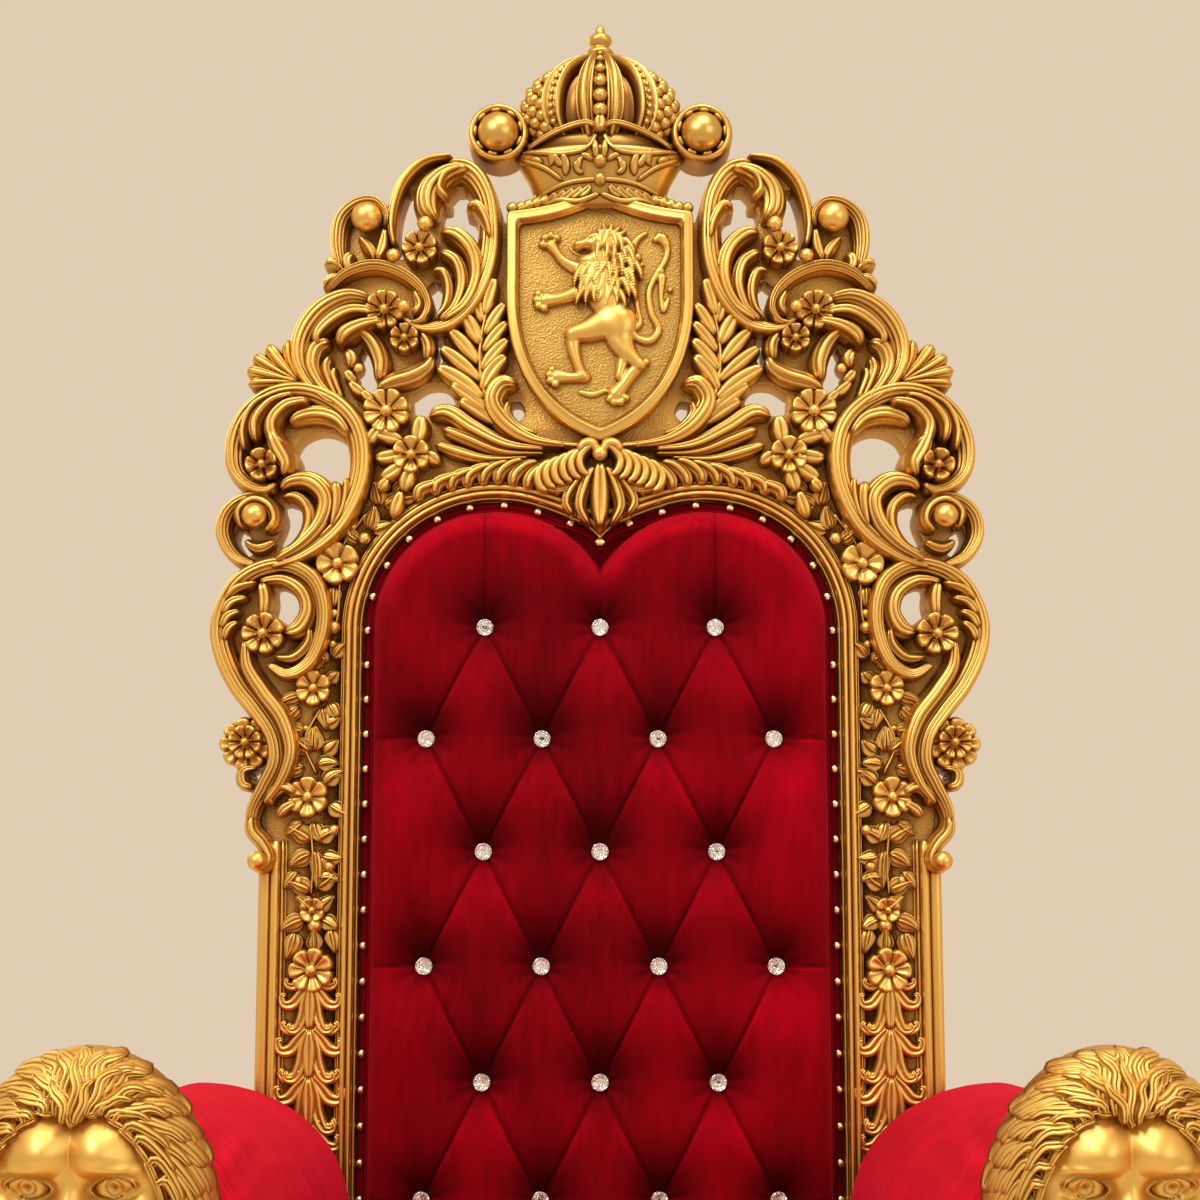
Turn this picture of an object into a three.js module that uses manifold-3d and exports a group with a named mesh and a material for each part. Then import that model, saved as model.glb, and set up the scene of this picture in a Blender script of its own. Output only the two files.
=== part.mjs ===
// A carved and gilded lion throne with a tufted velvet back, padded arms and a loose seat cushion.
// Millimetres, +Z up, the sitter looks along -Y. The origin is on the floor under the middle of the chair.
import * as THREE from "three";
import { mergeVertices } from "three/addons/utils/BufferGeometryUtils.js";
import Module from "manifold-3d";

const wasm = await Module();
wasm.setup();

// ---- driving dimensions -------------------------------------------------------------------------
const GAP = 0.3; // clearance between pieces that touch
const SNUG = 1.8; // clearance between upholstery and the curved wood round it
const RAKE = 0.07; // the back leans this far back for each unit of height
const RAKE_FROM = 520; // height at which the lean begins
const PLANK = 45; // thickness of the back frame
const DEPTH_SHIFT = 289; // moves the frame's front plane behind the middle of the chair

const POST = { outer: 378, inner: 284, top: 968, block: 700 };
const ARCH = { side: 267, spring: 1237, lobe: 118, radius: 149, moulding: 17 };
const RELIEF = { back: -30, low: 12, main: 22, high: 28 };
const SHIELD = { half: 107, shoulder: 1722, peak: 1750, waist: 1640, tip: 1451, rim: 10 };
const CROWN = { base: 1752, half: 74, flare: 97, brow: 1804, dome: 96, domeLow: 1824, domeTop: 1912, depth: 42 };
const TUFT = { across: 128, rise: 125, top: 1238, low: 22, crown: 52, rows: 6, foot: 430 };
const DECK = { top: 400, thick: 15, half: 470 };
const RAIL = { low: 290, thick: 38, outer: 488, front: -648 };
const ARM = { inner: 268, outer: 512, peak: 430, topBack: 740, topFront: 800, front: -600, foot: 400 };
const HEAD = { x: 410, z: 690, half: 107, back: -600.5, height: 143 };
const LEG = { x: 410 };

// ---- materials ----------------------------------------------------------------------------------
const paint = (color, roughness, metalness = 0) =>
  new THREE.MeshStandardMaterial({ color, roughness, metalness });
const GILT = paint(0xd9943a, 0.38, 0.7);
const BACK_VELVET = paint(0x8f0a16, 0.9);
const ARM_VELVET = paint(0xd22a38, 0.9);
const CRYSTAL = paint(0xe8eef2, 0.05);
const DARK_CLOTH = paint(0x2a1618, 0.95);
const TIMBER = paint(0x8a6a45, 0.7);

// ---- solids -------------------------------------------------------------------------------------
/** A closed geometry as a solid. */
function solid(geometry) {
  const bare = geometry.clone();
  bare.deleteAttribute("normal");
  bare.deleteAttribute("uv");
  const merged = mergeVertices(bare, 1e-4);
  return new wasm.Manifold(
    new wasm.Mesh({
      numProp: 3,
      vertProperties: new Float32Array(merged.attributes.position.array),
      triVerts: new Uint32Array(merged.index.array),
    }),
  );
}

/** A solid as a geometry. */
function geometryOf(shape) {
  const mesh = shape.getMesh();
  const geometry = new THREE.BufferGeometry();
  geometry.setAttribute("position", new THREE.BufferAttribute(mesh.vertProperties, 3));
  geometry.setIndex(new THREE.BufferAttribute(mesh.triVerts, 1));
  return geometry;
}

/** All the solids of a list as one, joined in pairs. */
function join(shapes) {
  let layer = shapes;
  while (layer.length > 1) {
    const next = [];
    for (let i = 0; i < layer.length; i += 2)
      next.push(i + 1 < layer.length ? layer[i].add(layer[i + 1]) : layer[i]);
    layer = next;
  }
  return layer[0];
}

/** The mirror image of a solid across the middle plane X = 0. */
function mirrored(shape) {
  const geometry = geometryOf(shape);
  const place = geometry.attributes.position;
  for (let i = 0; i < place.count; i++) place.setX(i, -place.getX(i));
  const index = geometry.index.array;
  for (let i = 0; i < index.length; i += 3)
    [index[i + 1], index[i + 2]] = [index[i + 2], index[i + 1]];
  return solid(geometry);
}

/** A closed skin over rings of points, closed at both ends, the last one at a tip where one is given. */
function loft(rings, tip) {
  const around = rings[0].length;
  const centre = (ring) =>
    ring.reduce((sum, p) => sum.add(p), new THREE.Vector3()).divideScalar(around);
  const points = [...rings.flat(), centre(rings[0]), tip ?? centre(rings[rings.length - 1])];
  const first = rings.length * around;
  const index = [];
  for (let k = 0; k < around; k++) {
    const next = (k + 1) % around;
    for (let r = 0; r < rings.length - 1; r++) {
      const low = r * around;
      const high = low + around;
      index.push(low + k, low + next, high + next, low + k, high + next, high + k);
    }
    index.push(first, next, k);
    const last = (rings.length - 1) * around;
    index.push(first + 1, last + k, last + next);
  }
  const geometry = new THREE.BufferGeometry().setFromPoints(points);
  geometry.setIndex(index);
  const shape = solid(geometry);
  return shape.volume() < 0 ? solid(flipped(geometry)) : shape;
}

/** A geometry with its faces turned round. */
function flipped(geometry) {
  const turned = geometry.clone();
  const index = turned.index.array;
  for (let i = 0; i < index.length; i += 3)
    [index[i + 1], index[i + 2]] = [index[i + 2], index[i + 1]];
  return turned;
}

const lean = (z) => RAKE * Math.max(0, z - RAKE_FROM);
/** A point on the back: x across, rise in front of the frame's plane, z up the raked plane. */
const onBack = (x, rise, z) => new THREE.Vector3(x, lean(z) - rise, z);

/** A flat outline in x and z, between two rises of the back, as a solid that leans with the back. */
function plate(shape, backRise, frontRise, curveSegments = 6, bevel = 0) {
  const geometry = new THREE.ExtrudeGeometry(shape, {
    depth: frontRise - backRise - bevel,
    curveSegments,
    bevelEnabled: bevel > 0,
    bevelThickness: bevel,
    bevelSize: bevel,
    bevelOffset: -bevel,
    bevelSegments: 1,
  });
  const place = geometry.attributes.position;
  for (let i = 0; i < place.count; i++) {
    const p = onBack(place.getX(i), Math.max(backRise, place.getZ(i) + backRise), place.getY(i));
    place.setXYZ(i, p.x, p.y, p.z);
  }
  return solid(geometry);
}

/** A box between two corners. */
function block(low, high) {
  const size = new THREE.Vector3().subVectors(high, low);
  const box = new THREE.BoxGeometry(size.x, size.y, size.z);
  box.translate((low.x + high.x) / 2, (low.y + high.y) / 2, (low.z + high.z) / 2);
  return box;
}

// ---- carving ------------------------------------------------------------------------------------
const FLUTED = [[-1, 0], [-0.85, 1], [0, 0.5], [0.8, 0.85], [1, 0]]; // a raised lip, a hollow, a second lip
const RIDGED = [[-1, 0], [0, 1], [1, 0]]; // a single ridge
const PETALS = 5;

/** Half-width of a plume along its length: root at the start, full before the middle, tip at the end. */
function swell(u, root, tip) {
  const ease = (a, b, t) => a + (b - a) * t * t * (3 - 2 * t);
  const FULL_AT = 0.42;
  return u < FULL_AT ? ease(root, 1, u / FULL_AT) : ease(1, tip, (u - FULL_AT) / (1 - FULL_AT));
}

/** A carved frond: a section carried along a smooth line through a few points of the back. */
function plume({ through, width, root = 0.3, tip = 0.6, rise = RELIEF.main, section = RIDGED, steps = 5 }) {
  const line = new THREE.CatmullRomCurve3(
    through.map(([x, z]) => new THREE.Vector3(x, 0, z)), false, "centripetal");
  const rings = [];
  for (let i = 0; i <= steps; i++) {
    const u = i / steps;
    const at = line.getPointAt(u);
    const along = line.getTangentAt(u);
    const half = width * swell(u, root, tip);
    rings.push(
      section.map(([across, height]) =>
        onBack(at.x + along.z * across * half, height ? height * rise : RELIEF.back, at.z - along.x * across * half)),
    );
  }
  return loft(rings);
}

/** A flower: a scalloped rim that rises to a point in the middle. */
function rosette(x, z, radius, rise = RELIEF.main) {
  const around = 2 * PETALS;
  const ring = (height) =>
    Array.from({ length: around }, (_, k) => {
      const turn = (k / around) * 2 * Math.PI;
      const reach = radius * (k % 2 ? 0.78 : 1);
      return onBack(x + reach * Math.cos(turn), height, z + reach * Math.sin(turn));
    });
  return loft([ring(RELIEF.back), ring(rise * 0.5)], onBack(x, rise, z));
}

/** A turned ball that stands out of the relief. */
function ball(x, z, radius, rise = RELIEF.low) {
  const sphere = new THREE.SphereGeometry(radius, 7, 5);
  const at = onBack(x, rise, z);
  sphere.translate(at.x, at.y, at.z);
  return solid(sphere);
}

// Left-hand scrolls of the crest and shoulder, from the shield outwards and then down to the post.
const SCROLLS = [
  { through: [[-225, 1593], [-182, 1592], [-145, 1626], [-123, 1685], [-128, 1745], [-161, 1776], [-191, 1755], [-188, 1728]],
    width: 16, tip: 0.6, rise: RELIEF.high, section: FLUTED, steps: 8 },
  { through: [[-148, 1768], [-206, 1780], [-236, 1735], [-232, 1690]], width: 9, root: 0.8 },
  { through: [[-300, 1658], [-305, 1705], [-285, 1736], [-254, 1732], [-256, 1704]], width: 9, steps: 6 },
  { through: [[-322, 1622], [-318, 1660], [-288, 1676]], width: 9, steps: 3 },
  { through: [[-308, 1618], [-275, 1663], [-229, 1657], [-200, 1625], [-214, 1601]], width: 9, steps: 5 },
  { through: [[-242, 1626], [-285, 1633], [-335, 1598], [-344, 1550], [-298, 1494]],
    width: 17, rise: RELIEF.high, section: FLUTED, steps: 5 },
  { through: [[-340, 1574], [-322, 1596], [-294, 1592], [-287, 1566]], width: 12, tip: 0.8, steps: 4 },
  { through: [[-275, 1586], [-250, 1556], [-252, 1518]], width: 9, steps: 4 },
  { through: [[-254, 1517], [-222, 1532], [-188, 1556]], width: 11, steps: 4 },
  { through: [[-367, 1310], [-295, 1360], [-273, 1430], [-308, 1499], [-365, 1508], [-412, 1466], [-400, 1414], [-384, 1404]],
    width: 14, rise: RELIEF.high, section: FLUTED, steps: 10 },
  { through: [[-285, 1411], [-296, 1458], [-330, 1479], [-352, 1462]], width: 10, steps: 4 },
  { through: [[-314, 1496], [-360, 1494], [-378, 1468], [-356, 1439]], width: 12, tip: 0.75, steps: 4 },
  { through: [[-362, 1400], [-338, 1416], [-318, 1382], [-357, 1322]], width: 13, steps: 4 },
  { through: [[-376, 1387], [-410, 1380], [-424, 1347], [-388, 1310]], width: 9, steps: 4 },
  { through: [[-412, 1352], [-384, 1331], [-345, 1341]], width: 9, steps: 3 },
  { through: [[-374, 1198], [-330, 1198], [-312, 1248], [-336, 1300], [-395, 1306], [-432, 1245], [-408, 1176]],
    width: 10, root: 0.5, tip: 1, steps: 9 },
  { through: [[-379, 1300], [-375, 1240]], width: 8, steps: 2 },
  { through: [[-416, 1215], [-385, 1165], [-352, 1115], [-384, 1032]], width: 15, rise: RELIEF.high, section: FLUTED },
  { through: [[-383, 1040], [-380, 1014], [-366, 984]], width: 10, steps: 3 },
];

// Left-hand laurel round the foot of the shield, and leaves that run out over the arch.
const SPRAY = [
  { through: [[-12, 1447], [-80, 1455], [-133, 1510], [-120, 1625]], width: 8, root: 0.6, tip: 0.3 },
  { through: [[-20, 1450], [-90, 1466], [-120, 1500], [-92, 1514]], width: 13, steps: 4 },
  { through: [[-46, 1442], [-120, 1448], [-190, 1485]], width: 13, steps: 3 },
];

// Left-hand flowers: x, z, radius.
const FLOWERS = [
  [-209, 1678, 24], [-247, 1610, 21], [-243, 1493, 22],
  [-296, 1315, 22], [-382, 1235, 21], [-321, 1171, 22], [-392, 1109, 30], [-325, 1049, 25],
];
// Left-hand balls: x, z, radius.
const BALLS = [[-270, 1719, 17], [-394, 1360, 22], [-381, 1431, 18]];
// Holes right through the crest, left-hand: x, z, half-width, half-height.
const PIERCINGS = [[-194, 1505, 20, 16], [-264, 1541, 11, 26]];

/** The left edge of the frame's ground, from the post to under the crown. */
function groundEdge() {
  const waist = new THREE.SplineCurve(
    [[-352, 1057], [-335, 1140], [-316, 1250], [-267, 1388], [-266, 1440], [-304, 1514], [-290, 1570]]
      .map(([x, z]) => new THREE.Vector2(x, z)));
  const shoulder = new THREE.SplineCurve(
    [[-230, 1587], [-170, 1584], [-122, 1630], [-108, 1743], [-60, 1790]]
      .map(([x, z]) => new THREE.Vector2(x, z)));
  return [
    new THREE.Vector2(-POST.outer, RAKE_FROM), new THREE.Vector2(-POST.outer, POST.top),
    new THREE.Vector2(-352, POST.top + 14), ...waist.getPoints(12), ...shoulder.getPoints(8),
  ];
}

/** The left half of the arched opening, a distance outside it: up the side, then round the lobe. */
function archEdge(out, from, lobeSteps) {
  const radius = ARCH.radius + out;
  const end = Math.acos(ARCH.lobe / radius);
  const points = from.map((z) => new THREE.Vector2(-ARCH.side - out, z));
  for (let i = 0; i <= lobeSteps; i++) {
    const turn = Math.PI + ((end - Math.PI) * i) / lobeSteps;
    points.push(new THREE.Vector2(-ARCH.lobe + radius * Math.cos(turn), ARCH.spring + radius * Math.sin(turn)));
  }
  return points;
}

/** A whole outline from its left half; a point on the middle line is used once. */
function whole(left) {
  const right = left.filter((p) => p.x < -0.5).reverse().map((p) => new THREE.Vector2(-p.x, p.y));
  return [...left, ...right];
}

/** The board that all the carving stands on, with the arched opening and the piercings. */
function ground() {
  const left = groundEdge();
  left.push(new THREE.Vector2(0, 1790));
  const board = new THREE.Shape(whole(left));
  const cut = new THREE.Shape(whole(archEdge(0, [RAKE_FROM - 1], 9)));
  let shape = plate(board, -PLANK, 0).subtract(plate(cut, -PLANK - 5, 5));
  for (const [x, z, rx, rz] of PIERCINGS)
    for (const side of [x, -x]) {
      const hole = new THREE.Shape().absellipse(side, z, rx, rz, 0, 2 * Math.PI);
      shape = shape.subtract(plate(hole, -PLANK - 5, 5, 5));
    }
  return shape;
}

/** The double bead round the left half of the opening. */
function archMoulding() {
  const PROFILE = [[0, -8], [1, 13], [7, 9], [10, 15], [17, -8]];
  const heights = [TUFT.foot, RAKE_FROM, 800];
  const lines = PROFILE.map(([out]) => archEdge(out, heights, 9));
  const rings = lines[0].map((_, k) =>
    PROFILE.map(([, rise], j) => onBack(lines[j][k].x, rise, lines[j][k].y)));
  return loft(rings);
}

/** Left post: outer bead, raised foot block that the arm butts against, and a running vine. */
function post() {
  const parts = [];
  const strip = (x0, x1, z0, z1, rise) => plate(
    new THREE.Shape([[x0, z0], [x1, z0], [x1, z1], [x0, z1]].map(([x, z]) => new THREE.Vector2(x, z))), -5, rise);
  parts.push(strip(-POST.outer, -352, POST.block, POST.top, 13));
  parts.push(strip(-POST.outer, -POST.inner, RAKE_FROM, POST.block, 15));
  parts.push(strip(-POST.outer, -POST.inner, ARM.foot, RAKE_FROM, 15));
  const STEMS = 3;
  const pitch = (1020 - POST.block) / STEMS;
  for (let k = 0; k < STEMS; k++) {
    const z = POST.block + k * pitch;
    const bow = k % 2 ? 18 : -18;
    parts.push(plume({ through: [[-319 - bow, z - 6], [-319 + bow, z + pitch / 2], [-319 - bow, z + pitch + 6]],
      width: 7, root: 0.7, tip: 0.7, rise: 14, steps: 3 }));
    parts.push(rosette(-319 - bow * 0.3, z + pitch / 2, k % 2 ? 17 : 23, 18));
  }
  return parts;
}

/** The shield: a raised rim round a sunk field. */
function shieldOutline(inset) {
  const { half, shoulder, peak, waist, tip } = SHIELD;
  const left = [
    ...new THREE.QuadraticBezierCurve(
      new THREE.Vector2(0, tip + inset * 1.3),
      new THREE.Vector2(-half - 5 + inset, waist - 145 + inset),
      new THREE.Vector2(-half + inset, waist)).getPoints(7),
    new THREE.Vector2(-half + inset, shoulder - inset), new THREE.Vector2(0, peak - inset),
  ];
  return new THREE.Shape(whole(left));
}
function shield() {
  const rim = plate(shieldOutline(0), -PLANK, RELIEF.high, 6, 4);
  const field = plate(shieldOutline(SHIELD.rim), 10, RELIEF.high + 5);
  return rim.subtract(field);
}

/** A rearing lion in low relief on the shield, facing left, with a raised tail. */
function rearingLion() {
  const limb = (through, width, rise = 22, tip = 0.6) =>
    plume({ through, width, root: 0.8, tip, rise, steps: 3 });
  const parts = [
    limb([[8, 1690], [18, 1640], [28, 1590], [24, 1555]], 26, 24, 0.9), // chest and flank
    limb([[20, 1706], [-6, 1700], [-26, 1688]], 17, 25), // head and muzzle
    limb([[14, 1660], [-24, 1668], [-58, 1690]], 9), // raised forepaw
    limb([[6, 1640], [-36, 1632], [-66, 1640]], 9), // lower forepaw
    limb([[18, 1570], [-14, 1556], [-38, 1534]], 12), // forward hind leg
    limb([[32, 1566], [28, 1530], [14, 1504]], 12), // standing hind leg
    limb([[40, 1566], [74, 1580], [60, 1624], [84, 1668], [66, 1700]], 6, 20, 1), // tail
  ];
  for (let k = 0; k < 2; k++) // locks of the mane
    parts.push(limb([[20 + k * 3, 1704 - k * 30], [42 + k, 1690 - k * 30], [50, 1664 - k * 30]], 11, 24, 0.2));
  return parts;
}

/** The crown: a flared band under a ribbed, squashed dome, a ball on top and a ringed ball each side. */
function crown() {
  const RIBS = 8;
  const middle = lean(CROWN.domeLow) + 4;
  // height, half-width, depth of the hollow between the ribs
  const LEVELS = [
    [CROWN.base - 20, CROWN.half, 0], [CROWN.base + 6, CROWN.half, 0], [CROWN.brow - 6, CROWN.flare - 6, 3],
    [CROWN.brow, CROWN.flare, 3], [CROWN.brow + 10, CROWN.flare, 3], [CROWN.brow + 12, CROWN.half + 4, 6],
    [CROWN.domeLow + 24, CROWN.dome, 10], [CROWN.domeTop - 20, CROWN.half + 6, 10], [CROWN.domeTop - 2, 30, 4],
    [CROWN.domeTop + 4, 9, 0], [CROWN.domeTop + 18, 15, 0], [CROWN.domeTop + 28, 7, 0], [CROWN.domeTop + 37, 10, 0],
  ];
  const rings = LEVELS.map(([z, half, hollow]) =>
    Array.from({ length: 2 * RIBS }, (_, k) => {
      const turn = (k / RIBS) * Math.PI;
      const reach = half - (k % 2 ? hollow : 0);
      const deep = Math.min(reach, (reach * CROWN.depth) / CROWN.dome + 6);
      return new THREE.Vector3(reach * Math.sin(turn), middle - deep * Math.cos(turn), z);
    }));
  const parts = [loft(rings, new THREE.Vector3(0, middle, CROWN.domeTop + 43))];
  for (const side of [-1, 1]) {
    parts.push(ball(side * 118, 1823, 23, 16));
    parts.push(rosette(side * 118, 1823, 36, 4));
    parts.push(plume({ through: [[side * 88, 1790], [side * 140, 1790], [side * 154, 1825], [side * 128, 1856], [side * 88, 1846]],
      width: 8, root: 0.8, tip: 0.8, rise: 18 }));
  }
  return parts;
}

/** Rear legs: the posts carried down to the floor, kicked back at the foot. */
function rearLeg() {
  const KICK = 60;
  const ring = (z, back, inner, outer) => {
    const shrink = outer;
    return [[-POST.outer + shrink, back], [-ARCH.side - inner, back], [-ARCH.side - inner, back + PLANK],
      [-POST.outer + shrink, back + PLANK]].map(([x, y]) => new THREE.Vector3(x, y, z));
  };
  return loft([ring(0, KICK, 25, 20), ring(120, KICK * 0.72, 18, 12), ring(280, KICK * 0.22, 0, 0),
    ring(430, 0, 0, 0), ring(RAKE_FROM, 0, 0, 0)]);
}

function backFrame() {
  const left = [
    ...SCROLLS.map(plume), ...SPRAY.map(plume), ...FLOWERS.map(([x, z, r]) => rosette(x, z, r)),
    ...BALLS.map(([x, z, r]) => ball(x, z, r)), archMoulding(), ...post(), rearLeg(),
  ];
  const ARCH_LEAVES = 6;
  for (let k = 0; k < ARCH_LEAVES; k++) { // leaves laid like tiles along the top of the arch
    const x = -34 - k * 27;
    const z = 1432 - 0.0022 * (k * 27) ** 2;
    left.push(plume({ through: [[x + 16, z + 4], [x, z - 4], [x - 12, z - 14]], width: 12, steps: 2 }));
  }
  const half = join(left);
  const CROSS = { low: RAKE_FROM - 100, high: RAKE_FROM - 20 };
  const lowerCross = solid(block(
    new THREE.Vector3(-ARCH.side - 5, PLANK - 14, CROSS.low), new THREE.Vector3(ARCH.side + 5, PLANK, CROSS.high)));
  const middle = [
    ground(), shield(), lowerCross, ...rearingLion(), ...crown(),
    plume({ through: [[0, 1440], [0, 1405], [0, 1352]], width: 14, root: 0.9, tip: 0.3, steps: 3 }),
    rosette(0, 1432, 22),
  ];
  return join([...middle, half, mirrored(half)]);
}

// ---- upholstery ---------------------------------------------------------------------------------
/** Where the buttons are: rows of three and four in turn, from the top down. */
function buttonPlaces() {
  const places = [];
  for (let row = 0; row < TUFT.rows; row++) {
    const count = row % 2 ? 4 : 3;
    for (let k = 0; k < count; k++)
      places.push([(k - (count - 1) / 2) * TUFT.across, TUFT.top - row * TUFT.rise]);
  }
  return places;
}

/** The tufted back: a field of diamonds, low at the buttons and full between them, cut to the arch. */
function backPad() {
  const COLUMNS = 5; // half-diamonds each side of the middle
  const half = TUFT.across / 2;
  const low = TUFT.top - TUFT.rows * TUFT.rise - half;
  const rises = [];
  const zs = [];
  for (let row = -2; row <= TUFT.rows; row++) zs.push(TUFT.top - row * TUFT.rise);
  zs[zs.length - 1] = low;
  const point = (i, j) => {
    const x = i * half;
    const z = zs[j];
    const button = (i + j) % 2 === 0; // row 0 has its buttons on even columns
    return onBack(x, button ? TUFT.low : TUFT.crown, z);
  };
  const points = [];
  const width = 2 * COLUMNS + 1;
  for (let j = 0; j < zs.length; j++) for (let i = -COLUMNS; i <= COLUMNS; i++) points.push(point(i, j));
  const count = points.length;
  for (let k = 0; k < count; k++) points.push(new THREE.Vector3(points[k].x, lean(points[k].z) + 30, points[k].z));
  const index = [];
  const quad = (a, b, c, d, split) => split
    ? index.push(a, b, c, a, c, d) : index.push(a, b, d, b, c, d);
  for (let j = 0; j < zs.length - 1; j++)
    for (let i = 0; i < width - 1; i++) {
      const a = j * width + i;
      const even = (i - COLUMNS + j) % 2 === 0;
      quad(a, a + 1, a + width + 1, a + width, even);
      quad(count + a, count + a + width, count + a + width + 1, count + a + 1, even);
    }
  for (let i = 0; i < width - 1; i++) {
    const last = (zs.length - 1) * width;
    quad(i + 1, i, count + i, count + i + 1, true);
    quad(last + i, last + i + 1, count + last + i + 1, count + last + i, true);
  }
  for (let j = 0; j < zs.length - 1; j++) {
    const a = j * width;
    quad(a, a + width, count + a + width, count + a, true);
    const b = a + width - 1;
    quad(b + width, b, count + b, count + b + width, true);
  }
  const geometry = new THREE.BufferGeometry().setFromPoints(points);
  geometry.setIndex(index);
  let field = solid(geometry);
  if (field.volume() < 0) field = solid(flipped(geometry));
  const outline = whole(archEdge(-SNUG, [TUFT.foot, RAKE_FROM], 9));
  const cutter = plate(new THREE.Shape(outline), -28, TUFT.crown + 4, 6, 34);
  return field.intersect(cutter);
}

/** The board behind the padding, which closes the opening at the back. */
function backBoard() {
  const edge = whole(archEdge(-SNUG, [RAKE_FROM - 15, RAKE_FROM], 9));
  return plate(new THREE.Shape(edge), -PLANK + 3, -30 - GAP);
}

/** One cut-glass button: a pointed back, a wide girdle and a small flat table. */
function crystal() {
  const RADIUS = 9;
  const lathe = new THREE.LatheGeometry(
    [[0, 0], [RADIUS, 7], [RADIUS * 0.55, 11], [0, 11]].map(([r, y]) => new THREE.Vector2(r, y)), 6);
  lathe.rotateX(Math.PI);
  return solid(lathe);
}

/** One padded arm, seen from its back end to its front: a fat roll over an upright side. */
function armPad() {
  const AROUND = 9; // points round the roll
  const ring = (top, y, follow, squeeze) => {
    const spring = 603;
    const points = [ARM.foot + GAP, RAKE_FROM, spring].map((z) => new THREE.Vector2(-ARM.inner, z));
    for (let i = 1; i <= AROUND; i++) {
      const turn = (i / AROUND) * Math.PI;
      const x = -ARM.peak + (Math.cos(turn) > 0 ? ARM.peak - ARM.inner : ARM.outer - ARM.peak) * Math.cos(turn);
      points.push(new THREE.Vector2(x, spring + (top - spring) * Math.sin(turn)));
    }
    for (const z of [RAKE_FROM, ARM.foot + GAP]) points.push(new THREE.Vector2(-RAIL.outer, z));
    const middle = new THREE.Vector2(-(ARM.inner + ARM.outer) / 2, 600);
    return points.map((p) => {
      const q = p.clone().lerp(middle, squeeze);
      return new THREE.Vector3(q.x, y + (follow ? lean(q.y) : 0), Math.max(q.y, ARM.foot + GAP));
    });
  };
  return loft([ring(ARM.topBack, -15 - 3 * SNUG, true, 0.02), ring(ARM.topBack + 2, -60, false, 0),
    ring(ARM.topBack + 25, -330, false, 0), ring(ARM.topFront - 4, -540, false, 0),
    ring(ARM.topFront, -580, false, 0.01), ring(ARM.topFront - 4, ARM.front, false, 0.08)]);
}

/** The loose seat cushion, crowned in the middle and pulled in at its edges. */
function seatCushion() {
  const HALF = 261;
  const FRONT = -640;
  const BACK = -62;
  const ring = (inset, z) => {
    const points = [];
    const SIDES = 12;
    for (let k = 0; k < SIDES; k++) {
      const turn = (k / SIDES) * 2 * Math.PI + Math.PI / SIDES;
      const power = (v) => Math.sign(v) * Math.abs(v) ** 0.35;
      const y = (FRONT + BACK) / 2 + ((BACK - FRONT) / 2 - inset) * power(Math.sin(turn));
      points.push(new THREE.Vector3((HALF - inset) * power(Math.cos(turn)), y, z));
    }
    return points;
  };
  const low = DECK.top + GAP;
  return loft([ring(14, low), ring(0, low + 30), ring(0, low + 62), ring(22, low + 92), ring(110, low + 108)]);
}

// ---- seat frame ---------------------------------------------------------------------------------
/** The front rail, with a shell in the middle of a scalloped apron. */
function frontRail() {
  const HALF = 345;
  const top = DECK.top - DECK.thick - GAP;
  const shape = new THREE.Shape();
  shape.moveTo(-HALF, top);
  shape.lineTo(-HALF, RAIL.low);
  shape.quadraticCurveTo(-250, RAIL.low + 20, -190, RAIL.low - 8);
  shape.quadraticCurveTo(-120, RAIL.low + 20, -70, RAIL.low - 20);
  shape.quadraticCurveTo(0, RAIL.low - 85, 70, RAIL.low - 20);
  shape.quadraticCurveTo(120, RAIL.low + 20, 190, RAIL.low - 8);
  shape.quadraticCurveTo(250, RAIL.low + 20, HALF, RAIL.low);
  shape.lineTo(HALF, top);
  const geometry = new THREE.ExtrudeGeometry(shape, { depth: RAIL.thick, bevelEnabled: false, curveSegments: 5 });
  geometry.rotateX(Math.PI / 2);
  geometry.translate(0, RAIL.front + RAIL.thick, 0);
  const parts = [solid(geometry)];
  const onRail = (shapes) => shapes;
  const LOBES = 7;
  for (let k = 0; k < LOBES; k++) { // ribs of the shell
    const turn = ((k / (LOBES - 1)) * 1.5 - 0.75);
    const rib = new THREE.CapsuleGeometry(7, 46, 1, 5);
    rib.translate(0, -34, 0);
    rib.rotateX(Math.PI / 2);
    rib.rotateY(-turn);
    rib.translate(0, RAIL.front + 1, RAIL.low + 52);
    parts.push(solid(rib));
  }
  return join(onRail(parts));
}

function sideRail() {
  const top = DECK.top - DECK.thick - GAP;
  return solid(block(
    new THREE.Vector3(-RAIL.outer, -585, RAIL.low + 5), new THREE.Vector3(-RAIL.outer + RAIL.thick, -RAIL.thick - 2 * GAP, top)));
}

function rearRail() {
  const top = DECK.top - DECK.thick - GAP;
  return solid(block(
    new THREE.Vector3(-RAIL.outer, -RAIL.thick - GAP, RAIL.low + 5), new THREE.Vector3(RAIL.outer, -GAP, top)));
}

function seatDeck() {
  const low = DECK.top - DECK.thick;
  const TONGUE = 335; // half-width of the part that reaches over the front rail
  return solid(block(new THREE.Vector3(-DECK.half, ARM.front, low), new THREE.Vector3(DECK.half, -16, DECK.top)))
    .add(solid(block(new THREE.Vector3(-TONGUE, RAIL.front, low), new THREE.Vector3(TONGUE, -100, DECK.top))));
}

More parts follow.
